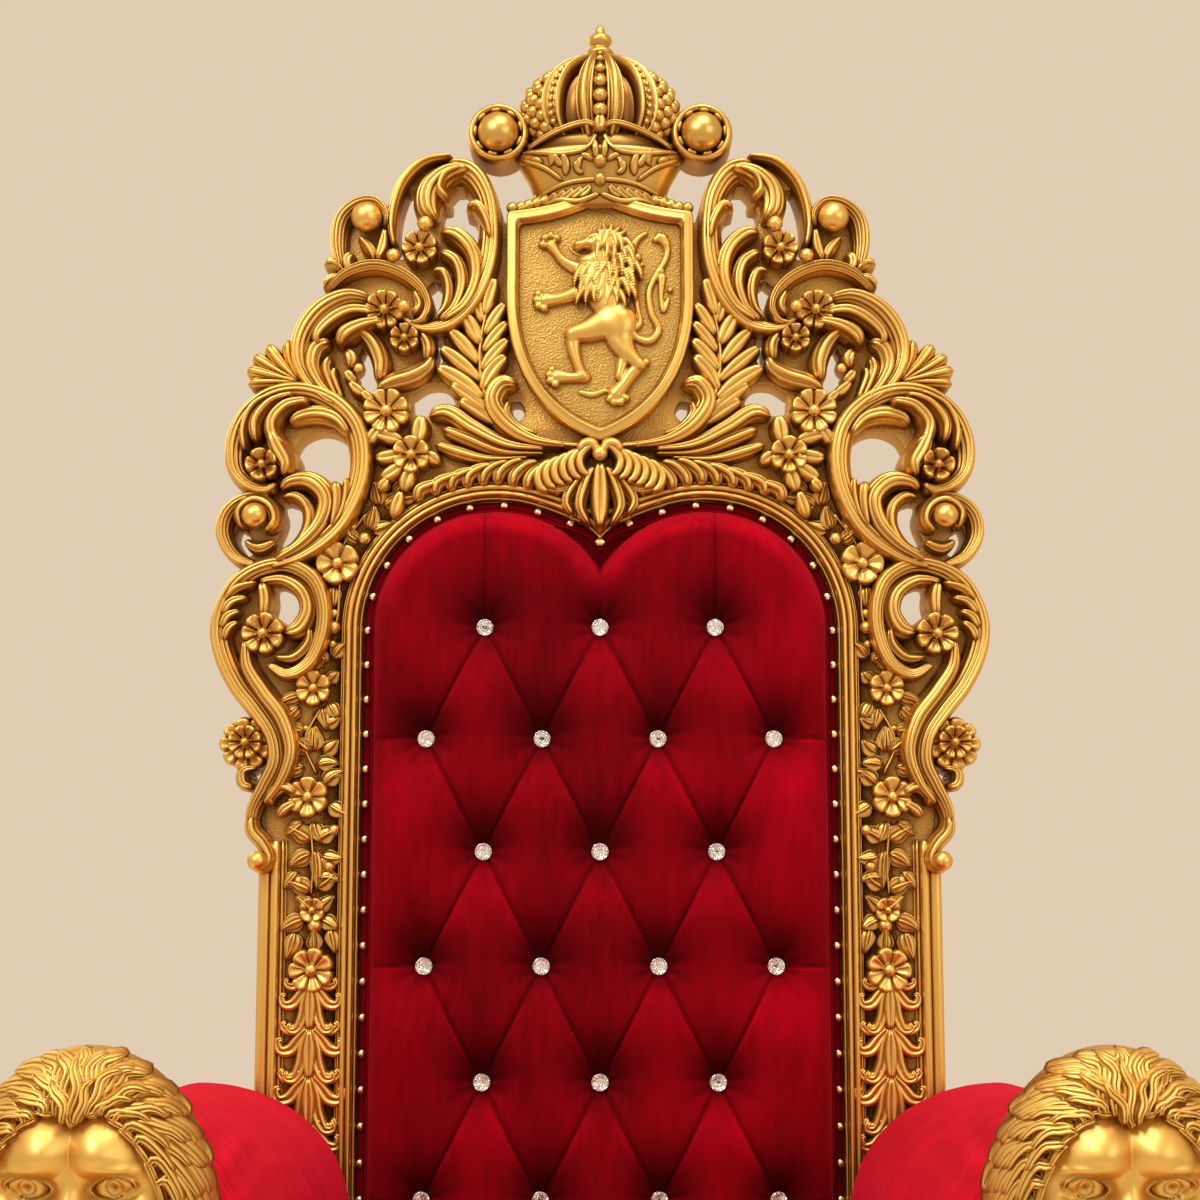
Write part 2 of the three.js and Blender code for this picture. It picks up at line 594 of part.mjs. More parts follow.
// ---- lions --------------------------------------------------------------------------------------
/** How far the lion's head stands forward at a place on it, all in half-widths of the head. */
function faceRelief(u, v) {
  const bump = (cu, cv, wu, wv, height) =>
    height * Math.exp(-(((Math.abs(u) - cu) / wu) ** 2) - ((v - cv) / wv) ** 2);
  const reach = Math.min(1, Math.hypot(u, (v * HEAD.half) / HEAD.height));
  const mane = THREE.MathUtils.smoothstep(reach, 0.56, 0.72);
  let rise = 0.14 + 0.5 * Math.sqrt(1 - reach ** 2.4);
  rise += bump(0, -0.48, 0.3, 0.26, 0.38); // muzzle
  rise += bump(0, 0, 0.15, 0.42, 0.16); // bridge of the nose
  rise += bump(0, -0.33, 0.12, 0.09, 0.07); // tip of the nose
  rise += bump(0.28, 0.6, 0.2, 0.16, 0.12); // brows
  rise -= bump(0.3, 0.33, 0.16, 0.12, 0.14); // eye hollows
  rise += bump(0.3, 0.33, 0.08, 0.07, 0.1); // eyes
  rise += bump(0.17, -0.52, 0.14, 0.12, 0.09); // upper lips
  rise -= bump(0, -0.7, 0.28, 0.05, 0.12); // mouth
  rise += bump(0, -0.88, 0.18, 0.11, 0.14); // chin
  const turn = Math.atan2(u, v + 0.1);
  const LOCKS = 14;
  return rise + mane * (0.07 + 0.07 * Math.cos(turn * LOCKS + reach * 6 * Math.sign(u)));
}

function lionHead() {
  const AROUND = 28;
  const RINGS = [1, 0.91, 0.8, 0.68, 0.56, 0.44, 0.33, 0.21, 0.09];
  const rings = [];
  const place = (turn, reach, rise) => new THREE.Vector3(
    HEAD.half * reach * Math.cos(turn), HEAD.back - rise * HEAD.half, HEAD.height * reach * Math.sin(turn));
  const back = Array.from({ length: AROUND }, (_, k) =>
    place((k / AROUND) * 2 * Math.PI, 0.94, 0));
  rings.push(back);
  for (const reach of RINGS)
    rings.push(Array.from({ length: AROUND }, (_, k) => {
      const turn = (k / AROUND) * 2 * Math.PI;
      const u = reach * Math.cos(turn);
      const v = (reach * Math.sin(turn) * HEAD.height) / HEAD.half;
      return place(turn, reach, faceRelief(u, v));
    }));
  const shape = geometryOf(loft(rings));
  shape.translate(-HEAD.x, 0, HEAD.z);
  return solid(shape);
}

/** Front leg: a console under the lion's head, a knee, an ankle and a clawed paw. */
function frontLeg() {
  const SIDES = 8;
  // height, forward reach, half-width across, half-depth
  const STATIONS = [
    [0, -690, 42, 46], [26, -690, 44, 52], [60, -668, 34, 34], [110, -650, 25, 26], [190, -646, 30, 32], [270, -652, 48, 46],
    [330, -646, 58, 42], [384, -646, 56, 34], [400, -646, 50, 26], [450, -650, 40, 24], [500, -650, 52, 26],
    [546, -646, 70, 24],
  ];
  const ring = ([z, y, halfX, halfY]) =>
    Array.from({ length: SIDES }, (_, k) => {
      const turn = (k / SIDES) * 2 * Math.PI;
      return new THREE.Vector3(-LEG.x + halfX * Math.cos(turn), Math.min(y + 20 + halfY * Math.sin(turn), z > 300 ? ARM.front - GAP : 0), z);
    });
  const parts = [loft(STATIONS.map(ring))];
  const TOES = 3;
  for (let k = 0; k < TOES; k++) {
    const toe = new THREE.SphereGeometry(1, 5, 3);
    toe.scale(20, 42, 26);
    toe.rotateZ((k - 1) * 0.25);
    toe.translate(-LEG.x + (k - 1) * 30, -672, 22);
    parts.push(solid(toe));
  }
  return join(parts).subtract(solid(block(new THREE.Vector3(-600, -900, -50), new THREE.Vector3(-200, 0, 0))));
}

// ---- the chair ----------------------------------------------------------------------------------
const throne = new THREE.Group();
throne.position.y = DEPTH_SHIFT;

function add(name, shape, material) {
  const geometry = shape.isBufferGeometry ? shape : geometryOf(shape);
  const mesh = new THREE.Mesh(geometry, material);
  mesh.name = name;
  throne.add(mesh);
  return mesh;
}

function addPair(name, shape, material) {
  add(name + "_left", shape, material);
  add(name + "_right", mirrored(shape), material);
}

add("back_frame", backFrame(), GILT);
add("back_pad", backPad(), BACK_VELVET);
add("back_board", backBoard(), DARK_CLOTH);
buttonPlaces().forEach(([x, z], k) => {
  const mesh = add("crystal_button_" + String(k + 1).padStart(2, "0"), crystal(), CRYSTAL);
  mesh.position.copy(onBack(x, TUFT.low + GAP, z));
});
addPair("arm_pad", armPad(), ARM_VELVET);
add("seat_cushion", seatCushion(), BACK_VELVET);
add("seat_deck", seatDeck(), TIMBER);
add("front_rail", frontRail(), GILT);
addPair("side_rail", sideRail(), GILT);
add("rear_rail", rearRail(), GILT);
addPair("lion_head", lionHead(), GILT);
addPair("front_leg", frontLeg(), GILT);

export default throne;
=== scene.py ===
"""A carved and gilded lion throne with a tufted velvet back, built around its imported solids.

Carving is laid out in millimetres on the back: x across, z up, and rise, the height of a surface in front
of the back frame. Lists hold the left half, seen from the front, and are mirrored.
"""

import bmesh
import bpy
import numpy as np
from bpy.props import FloatProperty, FloatVectorProperty, IntProperty, PointerProperty
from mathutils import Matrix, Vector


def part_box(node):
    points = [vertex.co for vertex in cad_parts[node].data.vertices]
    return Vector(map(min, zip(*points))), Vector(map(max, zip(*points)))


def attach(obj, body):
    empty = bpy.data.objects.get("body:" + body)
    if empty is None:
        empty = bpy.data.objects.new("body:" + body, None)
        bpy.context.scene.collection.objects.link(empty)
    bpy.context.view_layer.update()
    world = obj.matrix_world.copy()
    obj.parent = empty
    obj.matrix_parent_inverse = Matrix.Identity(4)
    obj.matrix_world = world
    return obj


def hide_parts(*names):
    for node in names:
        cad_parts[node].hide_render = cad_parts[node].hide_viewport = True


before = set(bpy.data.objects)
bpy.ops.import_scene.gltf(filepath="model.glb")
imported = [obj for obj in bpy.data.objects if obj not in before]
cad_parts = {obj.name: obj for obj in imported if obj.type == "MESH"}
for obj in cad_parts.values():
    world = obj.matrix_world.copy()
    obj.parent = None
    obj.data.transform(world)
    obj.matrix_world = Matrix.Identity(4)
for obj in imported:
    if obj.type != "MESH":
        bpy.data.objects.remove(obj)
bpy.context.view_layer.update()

bl_info = {
    "name": "Gilded Lion Throne",
    "version": (1, 0, 0),
    "blender": (4, 5, 0),
    "location": "View3D > Sidebar > Throne",
    "description": "Carving, upholstery and finishes of a gilded lion throne",
    "category": "Add Mesh",
}

MM = 0.001
RAKE = 0.07  # the back leans this far back for each unit of height
RAKE_FROM = 520.0  # height at which the lean begins
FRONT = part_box("rear_rail")[1].y / MM + 0.3  # front plane of the back frame, before its lean
PLANK = 45.0  # thickness of the back frame
WALL = -38.0  # how far back the sides of the carving run
SIDE, SPRING, LOBE, RADIUS = 267.0, 1237.0, 118.0, 149.0  # arched opening
POST_OUTER, POST_TOP, POST_BLOCK = 378.0, 968.0, 640.0
HEAD_X = -1000 * (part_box("lion_head_left")[0].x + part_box("lion_head_left")[1].x) / 2
HEAD_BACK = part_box("lion_head_left")[1].y / MM
HEAD_Z, HEAD_HALF, HEAD_HEIGHT = 692.0, 107.0, 145.0
LEG_X = 410.0


# ---- sizes and colours a user would change -------------------------------------------------------
class ThroneSizes(bpy.types.PropertyGroup):
    relief: FloatProperty(name="Relief", description="Height of the carving, as a share of the usual height",
                          default=1.0, min=0.5, max=1.3, subtype="FACTOR")
    nail_pitch: FloatProperty(name="Nail pitch",
                              description="Distance between two brass nails round the back", default=0.0375,
                              unit="LENGTH")
    nail_radius: FloatProperty(name="Nail radius", description="Radius of a brass nail's head",
                               default=0.0052, unit="LENGTH")
    tuft_depth: FloatProperty(name="Tuft depth", description="Height of a diamond above its buttons",
                              default=0.036, unit="LENGTH")
    button_radius: FloatProperty(name="Button radius", description="Radius of a cut-glass button",
                                 default=0.0088, unit="LENGTH")
    mane_locks: IntProperty(name="Mane locks", description="Locks in one row round a lion's head",
                            default=34, min=12, max=60)


class ThroneColours(bpy.types.PropertyGroup):
    gilt: FloatVectorProperty(name="Gilding", description="Colour of the gilded wood on its crests",
                              default=(0.86, 0.54, 0.135), size=3, subtype="COLOR", min=0, max=1)
    # the hollow colour is both the patina in the hollows and the painted shade of shut-in corners
    gilt_hollow: FloatVectorProperty(name="Hollows", description="Colour of the gilding in its hollows",
                                     default=(0.19, 0.062, 0.006), size=3, subtype="COLOR", min=0, max=1)
    back_velvet: FloatVectorProperty(name="Back velvet", description="Velvet of the back and the seat",
                                     default=(0.185, 0.0, 0.004), size=3, subtype="COLOR", min=0, max=1)
    arm_velvet: FloatVectorProperty(name="Arm velvet", description="Velvet of the arms",
                                    default=(0.62, 0.007, 0.024), size=3, subtype="COLOR", min=0, max=1)
    room: FloatVectorProperty(name="Room", description="Colour of the room's plain walls and floor",
                              default=(0.75, 0.61, 0.45), size=3, subtype="COLOR", min=0, max=1)


# ---- where things are ----------------------------------------------------------------------------
def once_round(count):
    """Even angles once round a circle, from 0."""
    return np.linspace(0.0, 2 * np.pi, count, endpoint=False)


def half_ellipse(q):
    """Height of a half ellipse at places q across it, sqrt(1 - q^2), and 0 past its ends."""
    return np.sqrt(np.clip(1 - q ** 2, 0.0, 1.0))


def sums(steps):
    """Where each step in turn ends, starting from 0."""
    return np.concatenate([[0.0], np.cumsum(steps)])


def run_along(line):
    """Distance from a line's start at each of its points, over their first two columns."""
    return sums(np.hypot(*np.diff(line[:, :2], axis=0).T))


def lean(z):
    """How far back the leaning frame's front is at a height."""
    return FRONT + RAKE * np.maximum(0.0, z - RAKE_FROM)


def on_back(x, rise, z):
    """A place on the back: x across, rise in front of the frame, z up."""
    return np.stack(np.broadcast_arrays(x, lean(z) - rise, z), axis=-1) * MM


def arch_fill(x, out):
    """How much the cleft between the lobes is filled up: a soft bump on the middle line, and more of it
    for inner lines."""
    return (12.0 + 0.85 * np.clip(-out, 0.0, 14.0)) * np.exp(-(x / 34.0) ** 2)


def arch_edge(out, low, count=90):
    """Left half of the arched opening, `out` outside it: up the side, then round the lobe to the middle."""
    radius = RADIUS + out
    turn = np.linspace(np.pi, np.arccos(LOBE / radius), count)
    side = np.linspace(low, SPRING, 2 * count // 3, endpoint=False)
    x = np.concatenate([np.full(len(side), -SIDE - out), -LOBE + radius * np.cos(turn)])
    z = np.concatenate([side, SPRING + radius * np.sin(turn)])
    return x, z + arch_fill(x, out)


def spine(through, step):
    """A centripetal Catmull-Rom curve through points, sampled every `step` along its first two columns."""
    knots = np.array(through, float)
    knots = np.vstack([2 * knots[0] - knots[1], knots, 2 * knots[-1] - knots[-2]])
    gaps = np.sqrt(np.hypot(*np.diff(knots[:, :2], axis=0).T)) + 1e-6
    at = sums(gaps)
    pieces = []
    for k in range(1, len(knots) - 2):
        t = np.linspace(at[k], at[k + 1], 24, endpoint=k == len(knots) - 3)[:, None]
        line = [knots[j] + (knots[j + 1] - knots[j]) * (t - at[j]) / gaps[j] for j in (k - 1, k, k + 1)]
        bend = [line[j] + (line[j + 1] - line[j]) * (t - at[k - 1 + j]) / (at[k + 1 + j] - at[k - 1 + j])
                for j in (0, 1)]
        pieces.append(bend[0] + (bend[1] - bend[0]) * (t - at[k]) / gaps[k])
    curve = np.vstack(pieces)
    run = run_along(curve)
    count = max(5, int(round(run[-1] / step)) + 1)
    even = np.linspace(0.0, run[-1], count)
    return np.stack([np.interp(even, run, column) for column in curve.T], axis=1)


# ---- the carver ----------------------------------------------------------------------------------
# Reeds across a frond, from the left of its travel to the right: the width and the crest height of each.
PLAIN = ((1, 1),)
CLEFT = ((1, 1), (1, 1))
THREE = ((1, 0.86), (1.2, 1), (1, 0.86))
FOUR = ((1, 0.8), (1, 1), (1, 1), (1, 0.8))
# a bold bead on the outside of a scroll
RIM = ((0.9, 0.52), (0.9, 0.64), (0.9, 0.76), (0.9, 0.88), (1.7, 1.0))
MANE = ((1, 0.7), (1, 1), (1, 0.9), (0.9, 0.6))
VEINED = ((0.5, 0.92), (1.2, 0.62), (0.5, 1.0), (1.2, 0.62), (0.5, 0.92))
RIM_LEFT = RIM[::-1]
FIVE = ((1, 0.72), (1, 0.92), (1.1, 1), (1, 0.92), (1, 0.72))
NO_FANS = np.zeros((0, 3), int)  # for a skin whose faces are all quads


def section(reeds, fine):
    """Across a frond: places v from -1 to 1, the plump body's height, and how far each place is below its
    crest.

    A reed is the half wave sin(pi t); the body is a superellipse (1 - |v|^3)^0.5 times the reed's crest.
    """
    widths, crests = np.array(reeds, float).T
    share = widths / widths.sum()
    edges = 2 * sums(share) - 1
    t = np.linspace(0.0, 1.0, fine, endpoint=False)
    v = np.append((edges[:-1, None] + 2 * share[:, None] * t).ravel(), 1.0)
    bead = np.append(np.tile(np.sin(np.pi * t) ** 0.7, len(widths)), 0.0)
    crest = np.append(np.repeat(crests, fine), crests[-1])
    width = np.append(np.repeat(share, fine), share[-1])
    body = (1 - np.abs(v) ** 3) ** 0.5 * crest
    return v, body, (1 - bead) * width, bead * (0.35 + 0.65 * crest)


def ring_faces(rings, around):
    """Quads of a grid that closes round, and the two fans of its ends, on two more points."""
    k = np.arange(around)
    row = np.arange(rings - 1)[:, None] * around
    after = (k + 1) % around
    quads = np.stack([row + k, row + after, row + after + around, row + k + around], axis=-1).reshape(-1, 4)
    last = (rings - 1) * around
    fans = np.vstack([
        np.stack([np.full(around, rings * around), after, k], axis=-1),
        np.stack([np.full(around, rings * around + 1), last + k, last + after], axis=-1),
    ])
    return quads, fans


def grid_faces(rows, columns):
    """Quads of an open grid of points, row by row, and the points' numbers."""
    at = np.arange(rows * columns).reshape(rows, columns)
    quads = np.stack([at[:-1, :-1], at[:-1, 1:], at[1:, 1:], at[1:, :-1]], axis=-1).reshape(-1, 4)
    return quads, at


class Carving:
    """Closed skins gathered into one mesh. Each point has a tone: 0 in the hollows, 1 on the crests."""

    def __init__(self):
        self.points, self.tones, self.quads, self.fans = [], [], [], []
        self.count = 0
        self.relief = bpy.context.scene.throne_sizes.relief

    def add(self, points, tones, quads, fans=NO_FANS):
        """Adds faces as they are."""
        self.points.append(points)
        self.tones.append(tones)
        self.quads.append(quads + self.count)
        self.fans.append(fans + self.count)
        self.count += len(points)

    def mirror(self):
        """Turns all of it over to the other side of the chair."""
        self.points = [points * (-1, 1, 1) for points in self.points]
        self.quads = [quads[:, ::-1] for quads in self.quads]
        self.fans = [fans[:, ::-1] for fans in self.fans]

    def keep(self, points, tones, quads, fans, pair):
        """Adds a skin facing outwards, told by the sign of its volume, and its mirror image."""
        corners = points[np.vstack([quads[:, :3], quads[:, [0, 2, 3]], fans])] - points.mean(axis=0)
        if np.einsum("ij,ij->", corners[:, 0], np.cross(corners[:, 1], corners[:, 2])) < 0:
            quads, fans = quads[:, ::-1], fans[:, ::-1]
        for side in (1, -1) if pair else (1,):
            self.add(points * (side, 1, 1), tones, quads[:, ::side], fans[:, ::side])

    def skin(self, points, tones, pair=True):
        """A tube of rings, each a closed line of points, with both ends closed."""
        rings, around = points.shape[:2]
        quads, fans = ring_faces(rings, around)
        ends = np.stack([points[0].mean(axis=0), points[-1].mean(axis=0)])
        tones = np.broadcast_to(tones, (rings, around))
        flat = np.concatenate([tones.ravel(), [tones[0].mean(), tones[-1].mean()]])
        self.keep(np.vstack([points.reshape(-1, 3), ends]), flat, quads, fans, pair)

    def hoop(self, points, tones):
        """A tube whose last ring joins its first."""
        rings, around = points.shape[:2]
        quads, _ = ring_faces(rings + 1, around)
        flat = np.broadcast_to(tones, (rings, around)).ravel()
        self.keep(points.reshape(-1, 3), flat, quads % (rings * around), NO_FANS, False)

    def frond(self, through, rise=22.0, reeds=PLAIN, back=WALL, place=on_back, pair=True, step=4.0, fine=6,
              swell=1.0, groove=0.85):
        """A reeded frond carried along x, z, half-width points. Its width and height round off at both ends
        by sqrt(1 - (1 - distance / half-width)^2); grooves between reeds are cut deeper by `groove`."""
        BLUNT = 0.12  # the ends stay this share of the width
        line = spine(through, step)
        along = np.gradient(line[:, :2], axis=0)
        along /= np.hypot(along[:, 0], along[:, 1])[:, None]
        run = run_along(line)
        half = np.maximum(line[:, 2], 0.6)
        near = np.clip(np.minimum(run, run[-1] - run) / (swell * half), 0.0, 1.0)
        taper = np.maximum(np.sqrt(1 - (1 - near) ** 2), BLUNT)
        v, body, dip, tone = section(reeds, fine)
        across = (half * taper)[:, None] * v
        x = line[:, :1] + along[:, 1:] * across
        z = line[:, 1:2] - along[:, :1] * across
        depth = (groove if len(reeds) > 1 else 0.0) * half * taper
        lift = body * (rise * self.relief * np.sqrt(taper))[:, None] - (body > 0) * dip * depth[:, None]
        lift = np.maximum(lift, 0.0)
        edge = np.full((len(line), 1), back)
        x, z = (np.concatenate([column[:, :1], column, column[:, -1:]], axis=1) for column in (x, z))
        lift = np.concatenate([edge, lift, edge], axis=1)
        shade = np.pad(np.tile(tone, (len(line), 1)), ((0, 0), (1, 1)), constant_values=0.1)
        self.skin(place(x, lift, z), shade, pair)

    def blade(self, x, z, tip_x, tip_z, half, bend, rise=20.0, **more):
        """A leaf from its root to its tip, bowed by `bend` degrees in all."""
        turn = np.degrees(np.arctan2(tip_z - z, tip_x - x))
        self.leaf(x, z, np.hypot(tip_x - x, tip_z - z) * 1.02, half, turn - bend / 2, bend, rise=rise, **more)

    def leaf(self, x, z, length, width, turn, bend=0.0, rise=16.0, reeds=CLEFT, back=-4.0,
             shape=(0.35, 0.75, 1.0, 1.0, 0.85, 0.45), **more):
        """A leaf from its root: `turn` is its direction in degrees from +x, `bend` how far that turns by
        its tip."""
        u = np.linspace(0.0, 1.0, 6)
        angle = np.radians(turn + bend * u)
        x = x + sums(np.cos(angle[:-1])) * length / 5
        z = z + sums(np.sin(angle[:-1])) * length / 5
        self.frond(np.stack([x, z, width * np.array(shape)], axis=1), rise=rise, reeds=reeds, back=back,
                   step=3.0, fine=4, **more)

    def rosette(self, x, z, radius, petals, rise, back=WALL, place=on_back, pair=True):
        """A flower. Petals are parted by narrow valleys |sin(n a / 2)|^0.14; each is a dish whose rim
        stands up and rolls over; the boss is half a ball in a ring."""
        BOSS = 0.27
        angle = once_round(petals * 10)
        wave = np.abs(np.sin(petals * angle / 2))
        lobe = wave ** 0.14
        margin = np.exp(-((wave - 0.62) / 0.14) ** 2)
        s = np.array([0.03, 0.4 * BOSS, 0.7 * BOSS, 0.92 * BOSS, BOSS, BOSS + 0.04, 0.37, 0.46, 0.56, 0.66,
                      0.76, 0.85, 0.92, 0.97, 1.0, 1.0])[:, None]
        p = np.clip((s - BOSS) / (1 - BOSS), 0.0, 1.0)
        dish = 0.56 + 0.34 * p ** 0.7 - 0.50 * np.clip((p - 0.82) / 0.18, 0, 1) ** 2.2
        lift = rise * self.relief * (dish * (0.70 + 0.30 * lobe)
                                     + (0.07 * margin - 0.04 * wave ** 20) * np.sin(np.pi * p))
        dome = rise * (0.66 + 0.28 * half_ellipse(s / BOSS))
        lift = np.where(s <= BOSS, dome, lift)
        tone = np.where(s <= BOSS, 0.45 + 0.55 * half_ellipse(s / BOSS), (0.62 + 0.38 * p) * lobe ** 1.5)
        tone = tone * (1 - 0.7 * np.exp(-((s - BOSS - 0.03) / 0.04) ** 2))
        lift[-1] = back
        tone[-1] = 0.1
        reach = radius * s * (1 - 0.16 * (1 - wave ** 0.45) * np.clip(s * 1.4 - 0.4, 0.0, 1.0))
        self.skin(place(x + reach * np.cos(angle), lift, z + reach * np.sin(angle)), tone, pair)

    def ball(self, x, z, radius, rise=12.0, place=on_back, pair=True, around=20, squash=1.0):
        """A ball; its rings go from pole to pole along the rise."""
        polar = np.linspace(0.08, np.pi - 0.08, max(6, around // 2))[:, None]
        turn = once_round(around)
        reach = radius * np.sin(polar)
        rises = np.broadcast_to(rise + squash * radius * np.cos(polar), (len(polar), around))
        tone = np.clip(0.55 + 0.6 * np.cos(polar), 0.1, 1.0) + 0 * turn
        self.skin(place(x + reach * np.cos(turn), rises, z + reach * np.sin(turn)), tone, pair)

    def beads(self, through, radius, rise, place, pair):
        """A row of beads along points x, z."""
        PITCH, AROUND = 2.1, 10  # radii from bead to bead, points round one
        for x, z in spine(through, radius * PITCH)[:, :2]:
            self.ball(x, z, radius, rise, place, pair, AROUND)

    def disc(self, x, z, radius, rise, hollow, rim):
        """A turned boss on the back, with a rolled rim round a hollow, and its mirror image."""
        turn = once_round(48)
        roll = np.linspace(0.0, np.pi, 9)
        reach = np.concatenate([[0.1 * radius], radius - rim - rim * np.cos(roll), [radius]])[:, None]
        lift = np.concatenate([[rise - hollow], rise - hollow + (rim + hollow) * np.sin(roll), [WALL]])
        lift[-2] = rise - hollow
        tone = np.concatenate([[0.3], 0.15 + 0.85 * np.sin(roll), [0.1]])[:, None] + 0 * turn
        rises = np.broadcast_to(lift[:, None], tone.shape)
        self.skin(on_back(x + reach * np.cos(turn), rises, z + reach * np.sin(turn)), tone)

    def build(self, name, finish, slot, *nodes):
        """The gathered skins as one smooth object that rides on the chair and stands for CAD nodes."""
        mesh = bpy.data.meshes.new(name)
        quads = np.vstack(self.quads) if self.quads else np.zeros((0, 4), int)
        mesh.from_pydata(np.vstack(self.points), [], quads.tolist() + np.vstack(self.fans).tolist())
        tone = mesh.attributes.new("tone", "FLOAT", "POINT")
        tone.data.foreach_set("value", np.concatenate(self.tones).astype(np.float32))
        return place_piece(mesh, name, finish, slot, *nodes)


def place_piece(mesh, name, finish, slot, *nodes):
    """An object for a mesh, smooth, with its finish, its body and the CAD nodes that it stands for."""
    if mesh.validate():
        mesh.update()
    mesh.polygons.foreach_set("use_smooth", np.ones(len(mesh.polygons), bool))
    mesh.materials.append(finish)
    piece = bpy.data.objects.new(name, mesh)
    bpy.context.scene.collection.objects.link(piece)
    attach(piece, "root")
    if nodes:
        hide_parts(*nodes)
    return piece


# ---- finishes ------------------------------------------------------------------------------------
class Wire:
    """One value socket of a material; arithmetic on it adds Math nodes."""

    def __init__(self, finish, socket):
        self.finish, self.socket = finish, socket

    def _maths(self, operation, first, second):
        return self.finish.node("ShaderNodeMath", {"operation": operation}, {0: first, 1: second})

    def __add__(self, other):
        return self._maths("ADD", self, other)

    def __sub__(self, other):
        return self._maths("SUBTRACT", self, other)

    def __rsub__(self, other):
        return self._maths("SUBTRACT", other, self)

    def __mul__(self, other):
        return self._maths("MULTIPLY", self, other)

    def __pow__(self, other):
        return self._maths("POWER", self, other)

    __radd__, __rmul__ = __add__, __mul__


class Finish:
    """A material being made: node() adds any node, surface() sets the shader's sockets."""

    def __init__(self, name):
        self.material = bpy.data.materials.new(name)
        self.material.use_nodes = True
        self.tree = self.material.node_tree
        self.shader = self.tree.nodes["Principled BSDF"]

    def connect(self, socket, value):
        """Links a wire to a socket, or sets the socket's own value."""
        if isinstance(value, Wire):
            self.tree.links.new(value.socket, socket)
        elif hasattr(value, "__len__") and len(value) == 3 and socket.type == "RGBA":
            socket.default_value = (*value, 1.0)
        else:
            socket.default_value = value

    def node(self, kind, settings, inputs, output=0):
        """A node of a kind: its settings first (a ramp's as stops), then its sockets by name or number."""
        made = self.tree.nodes.new(kind)
        for name, value in settings.items():
            if name == "stops":
                ramp = made.color_ramp
                for k, (place, colour) in enumerate(value):
                    stop = ramp.elements[k] if k < 2 else ramp.elements.new(place)
                    stop.position, stop.color = place, (*colour, 1.0)
            else:
                setattr(made, name, value)
        for key, value in inputs.items():
            self.connect(made.inputs[key], value)
        return Wire(self, made.outputs[output])

    def mix(self, amount, first, second):
        """Two colours mixed."""
        FACTOR, A, B, RESULT = 0, 6, 7, 2
        inputs = {FACTOR: amount, A: first, B: second}
        return self.node("ShaderNodeMix", {"data_type": "RGBA", "blend_type": "MIX"}, inputs, RESULT)

    def noise(self, scale, detail=3.0, stretch=(1, 1, 1), rough=0.5):
        """Soft noise on the piece's own coordinates, `scale` to a metre, drawn out by `stretch`."""
        place = self.node("ShaderNodeTexCoord", {}, {}, "Object")
        place = self.node("ShaderNodeMapping", {}, {"Vector": place, "Scale": stretch})
        inputs = {"Vector": place, "Scale": scale, "Detail": detail, "Roughness": rough}
        return self.node("ShaderNodeTexNoise", {}, inputs, "Fac")

    def bump(self, height, distance, strength=1.0, under=None):
        """A bump from a height, over another one."""
        inputs = {"Height": height, "Distance": distance, "Strength": strength}
        if under is not None:
            inputs["Normal"] = under
        return self.node("ShaderNodeBump", {}, inputs, "Normal")

    def between(self, value, low, high):
        """A value brought to 0 at low and 1 at high, and held there."""
        return self.node("ShaderNodeMapRange", {}, {"Value": value, "From Min": low, "From Max": high},
                         "Result")

    def surface(self, **sockets):
        """Sets the shader's sockets, underscores for spaces, and gives the material."""
        for name, value in sockets.items():
            self.connect(self.shader.inputs[name.replace("_", " ")], value)
        return self.material


def gilding(name, stipple=0.0, dull=0.0, dim=1.0, painted=0.46, shade=1.7):
    """Burnished gold over a brown ground: dark with patina in the hollows, where the tone is low, and dark
    with painted shade where corners are shut in, found by an ambient occlusion node.

    `painted` is the patina tone's share in how dark the hollows look; the painted shade of shut-in corners
    has the rest.
    """
    colours = bpy.context.scene.throne_colours
    gilt, hollow = dim * np.array(colours.gilt), np.array(colours.gilt_hollow)
    finish = Finish(name)
    tone = finish.node("ShaderNodeAttribute", {"attribute_name": "tone"}, {}, "Fac")
    # painted shade: ambient occlusion darkens corners that are shut in, also between separate pieces
    ao_painted_shade = finish.node("ShaderNodeAmbientOcclusion", {"samples": 4, "only_local": False},
                          {"Distance": 0.022}, "AO")
    wear = finish.noise(34.0, 4.0)
    # how dark each place is: patina from the tone, painted shade from the occlusion, and random wear
    depth = (finish.between(tone, 0.0, 0.60) * painted + ao_painted_shade ** shade * (1.04 - painted)
             + (wear - 0.5) * 0.14)
    colour = finish.node("ShaderNodeValToRGB", {"stops": [
        (0.06, hollow), (0.98, gilt), (0.36, 0.26 * gilt + 0.74 * hollow),
        (0.66, 0.66 * gilt + 0.34 * hollow)]},
        {"Fac": depth}, "Color")
    rough = finish.noise(60.0, 3.0) * 0.14 + (1 - depth) * 0.12 + (0.27 + dull)
    grain = finish.noise(900.0, 2.0)
    normal = finish.bump(grain, 0.0002, 0.18)
    if stipple:
        punch = finish.node("ShaderNodeTexVoronoi", {}, {
            "Vector": finish.node("ShaderNodeTexCoord", {}, {}, "Object"), "Scale": 420.0}, "Distance")
        normal = finish.bump(punch, stipple, 0.9, normal)
    return finish.surface(Base_Color=colour, Metallic=0.92, Roughness=rough, Normal=normal, Coat_Weight=0.26,
                          Coat_Roughness=0.22, Specular_Tint=(1.0, 0.62, 0.30))


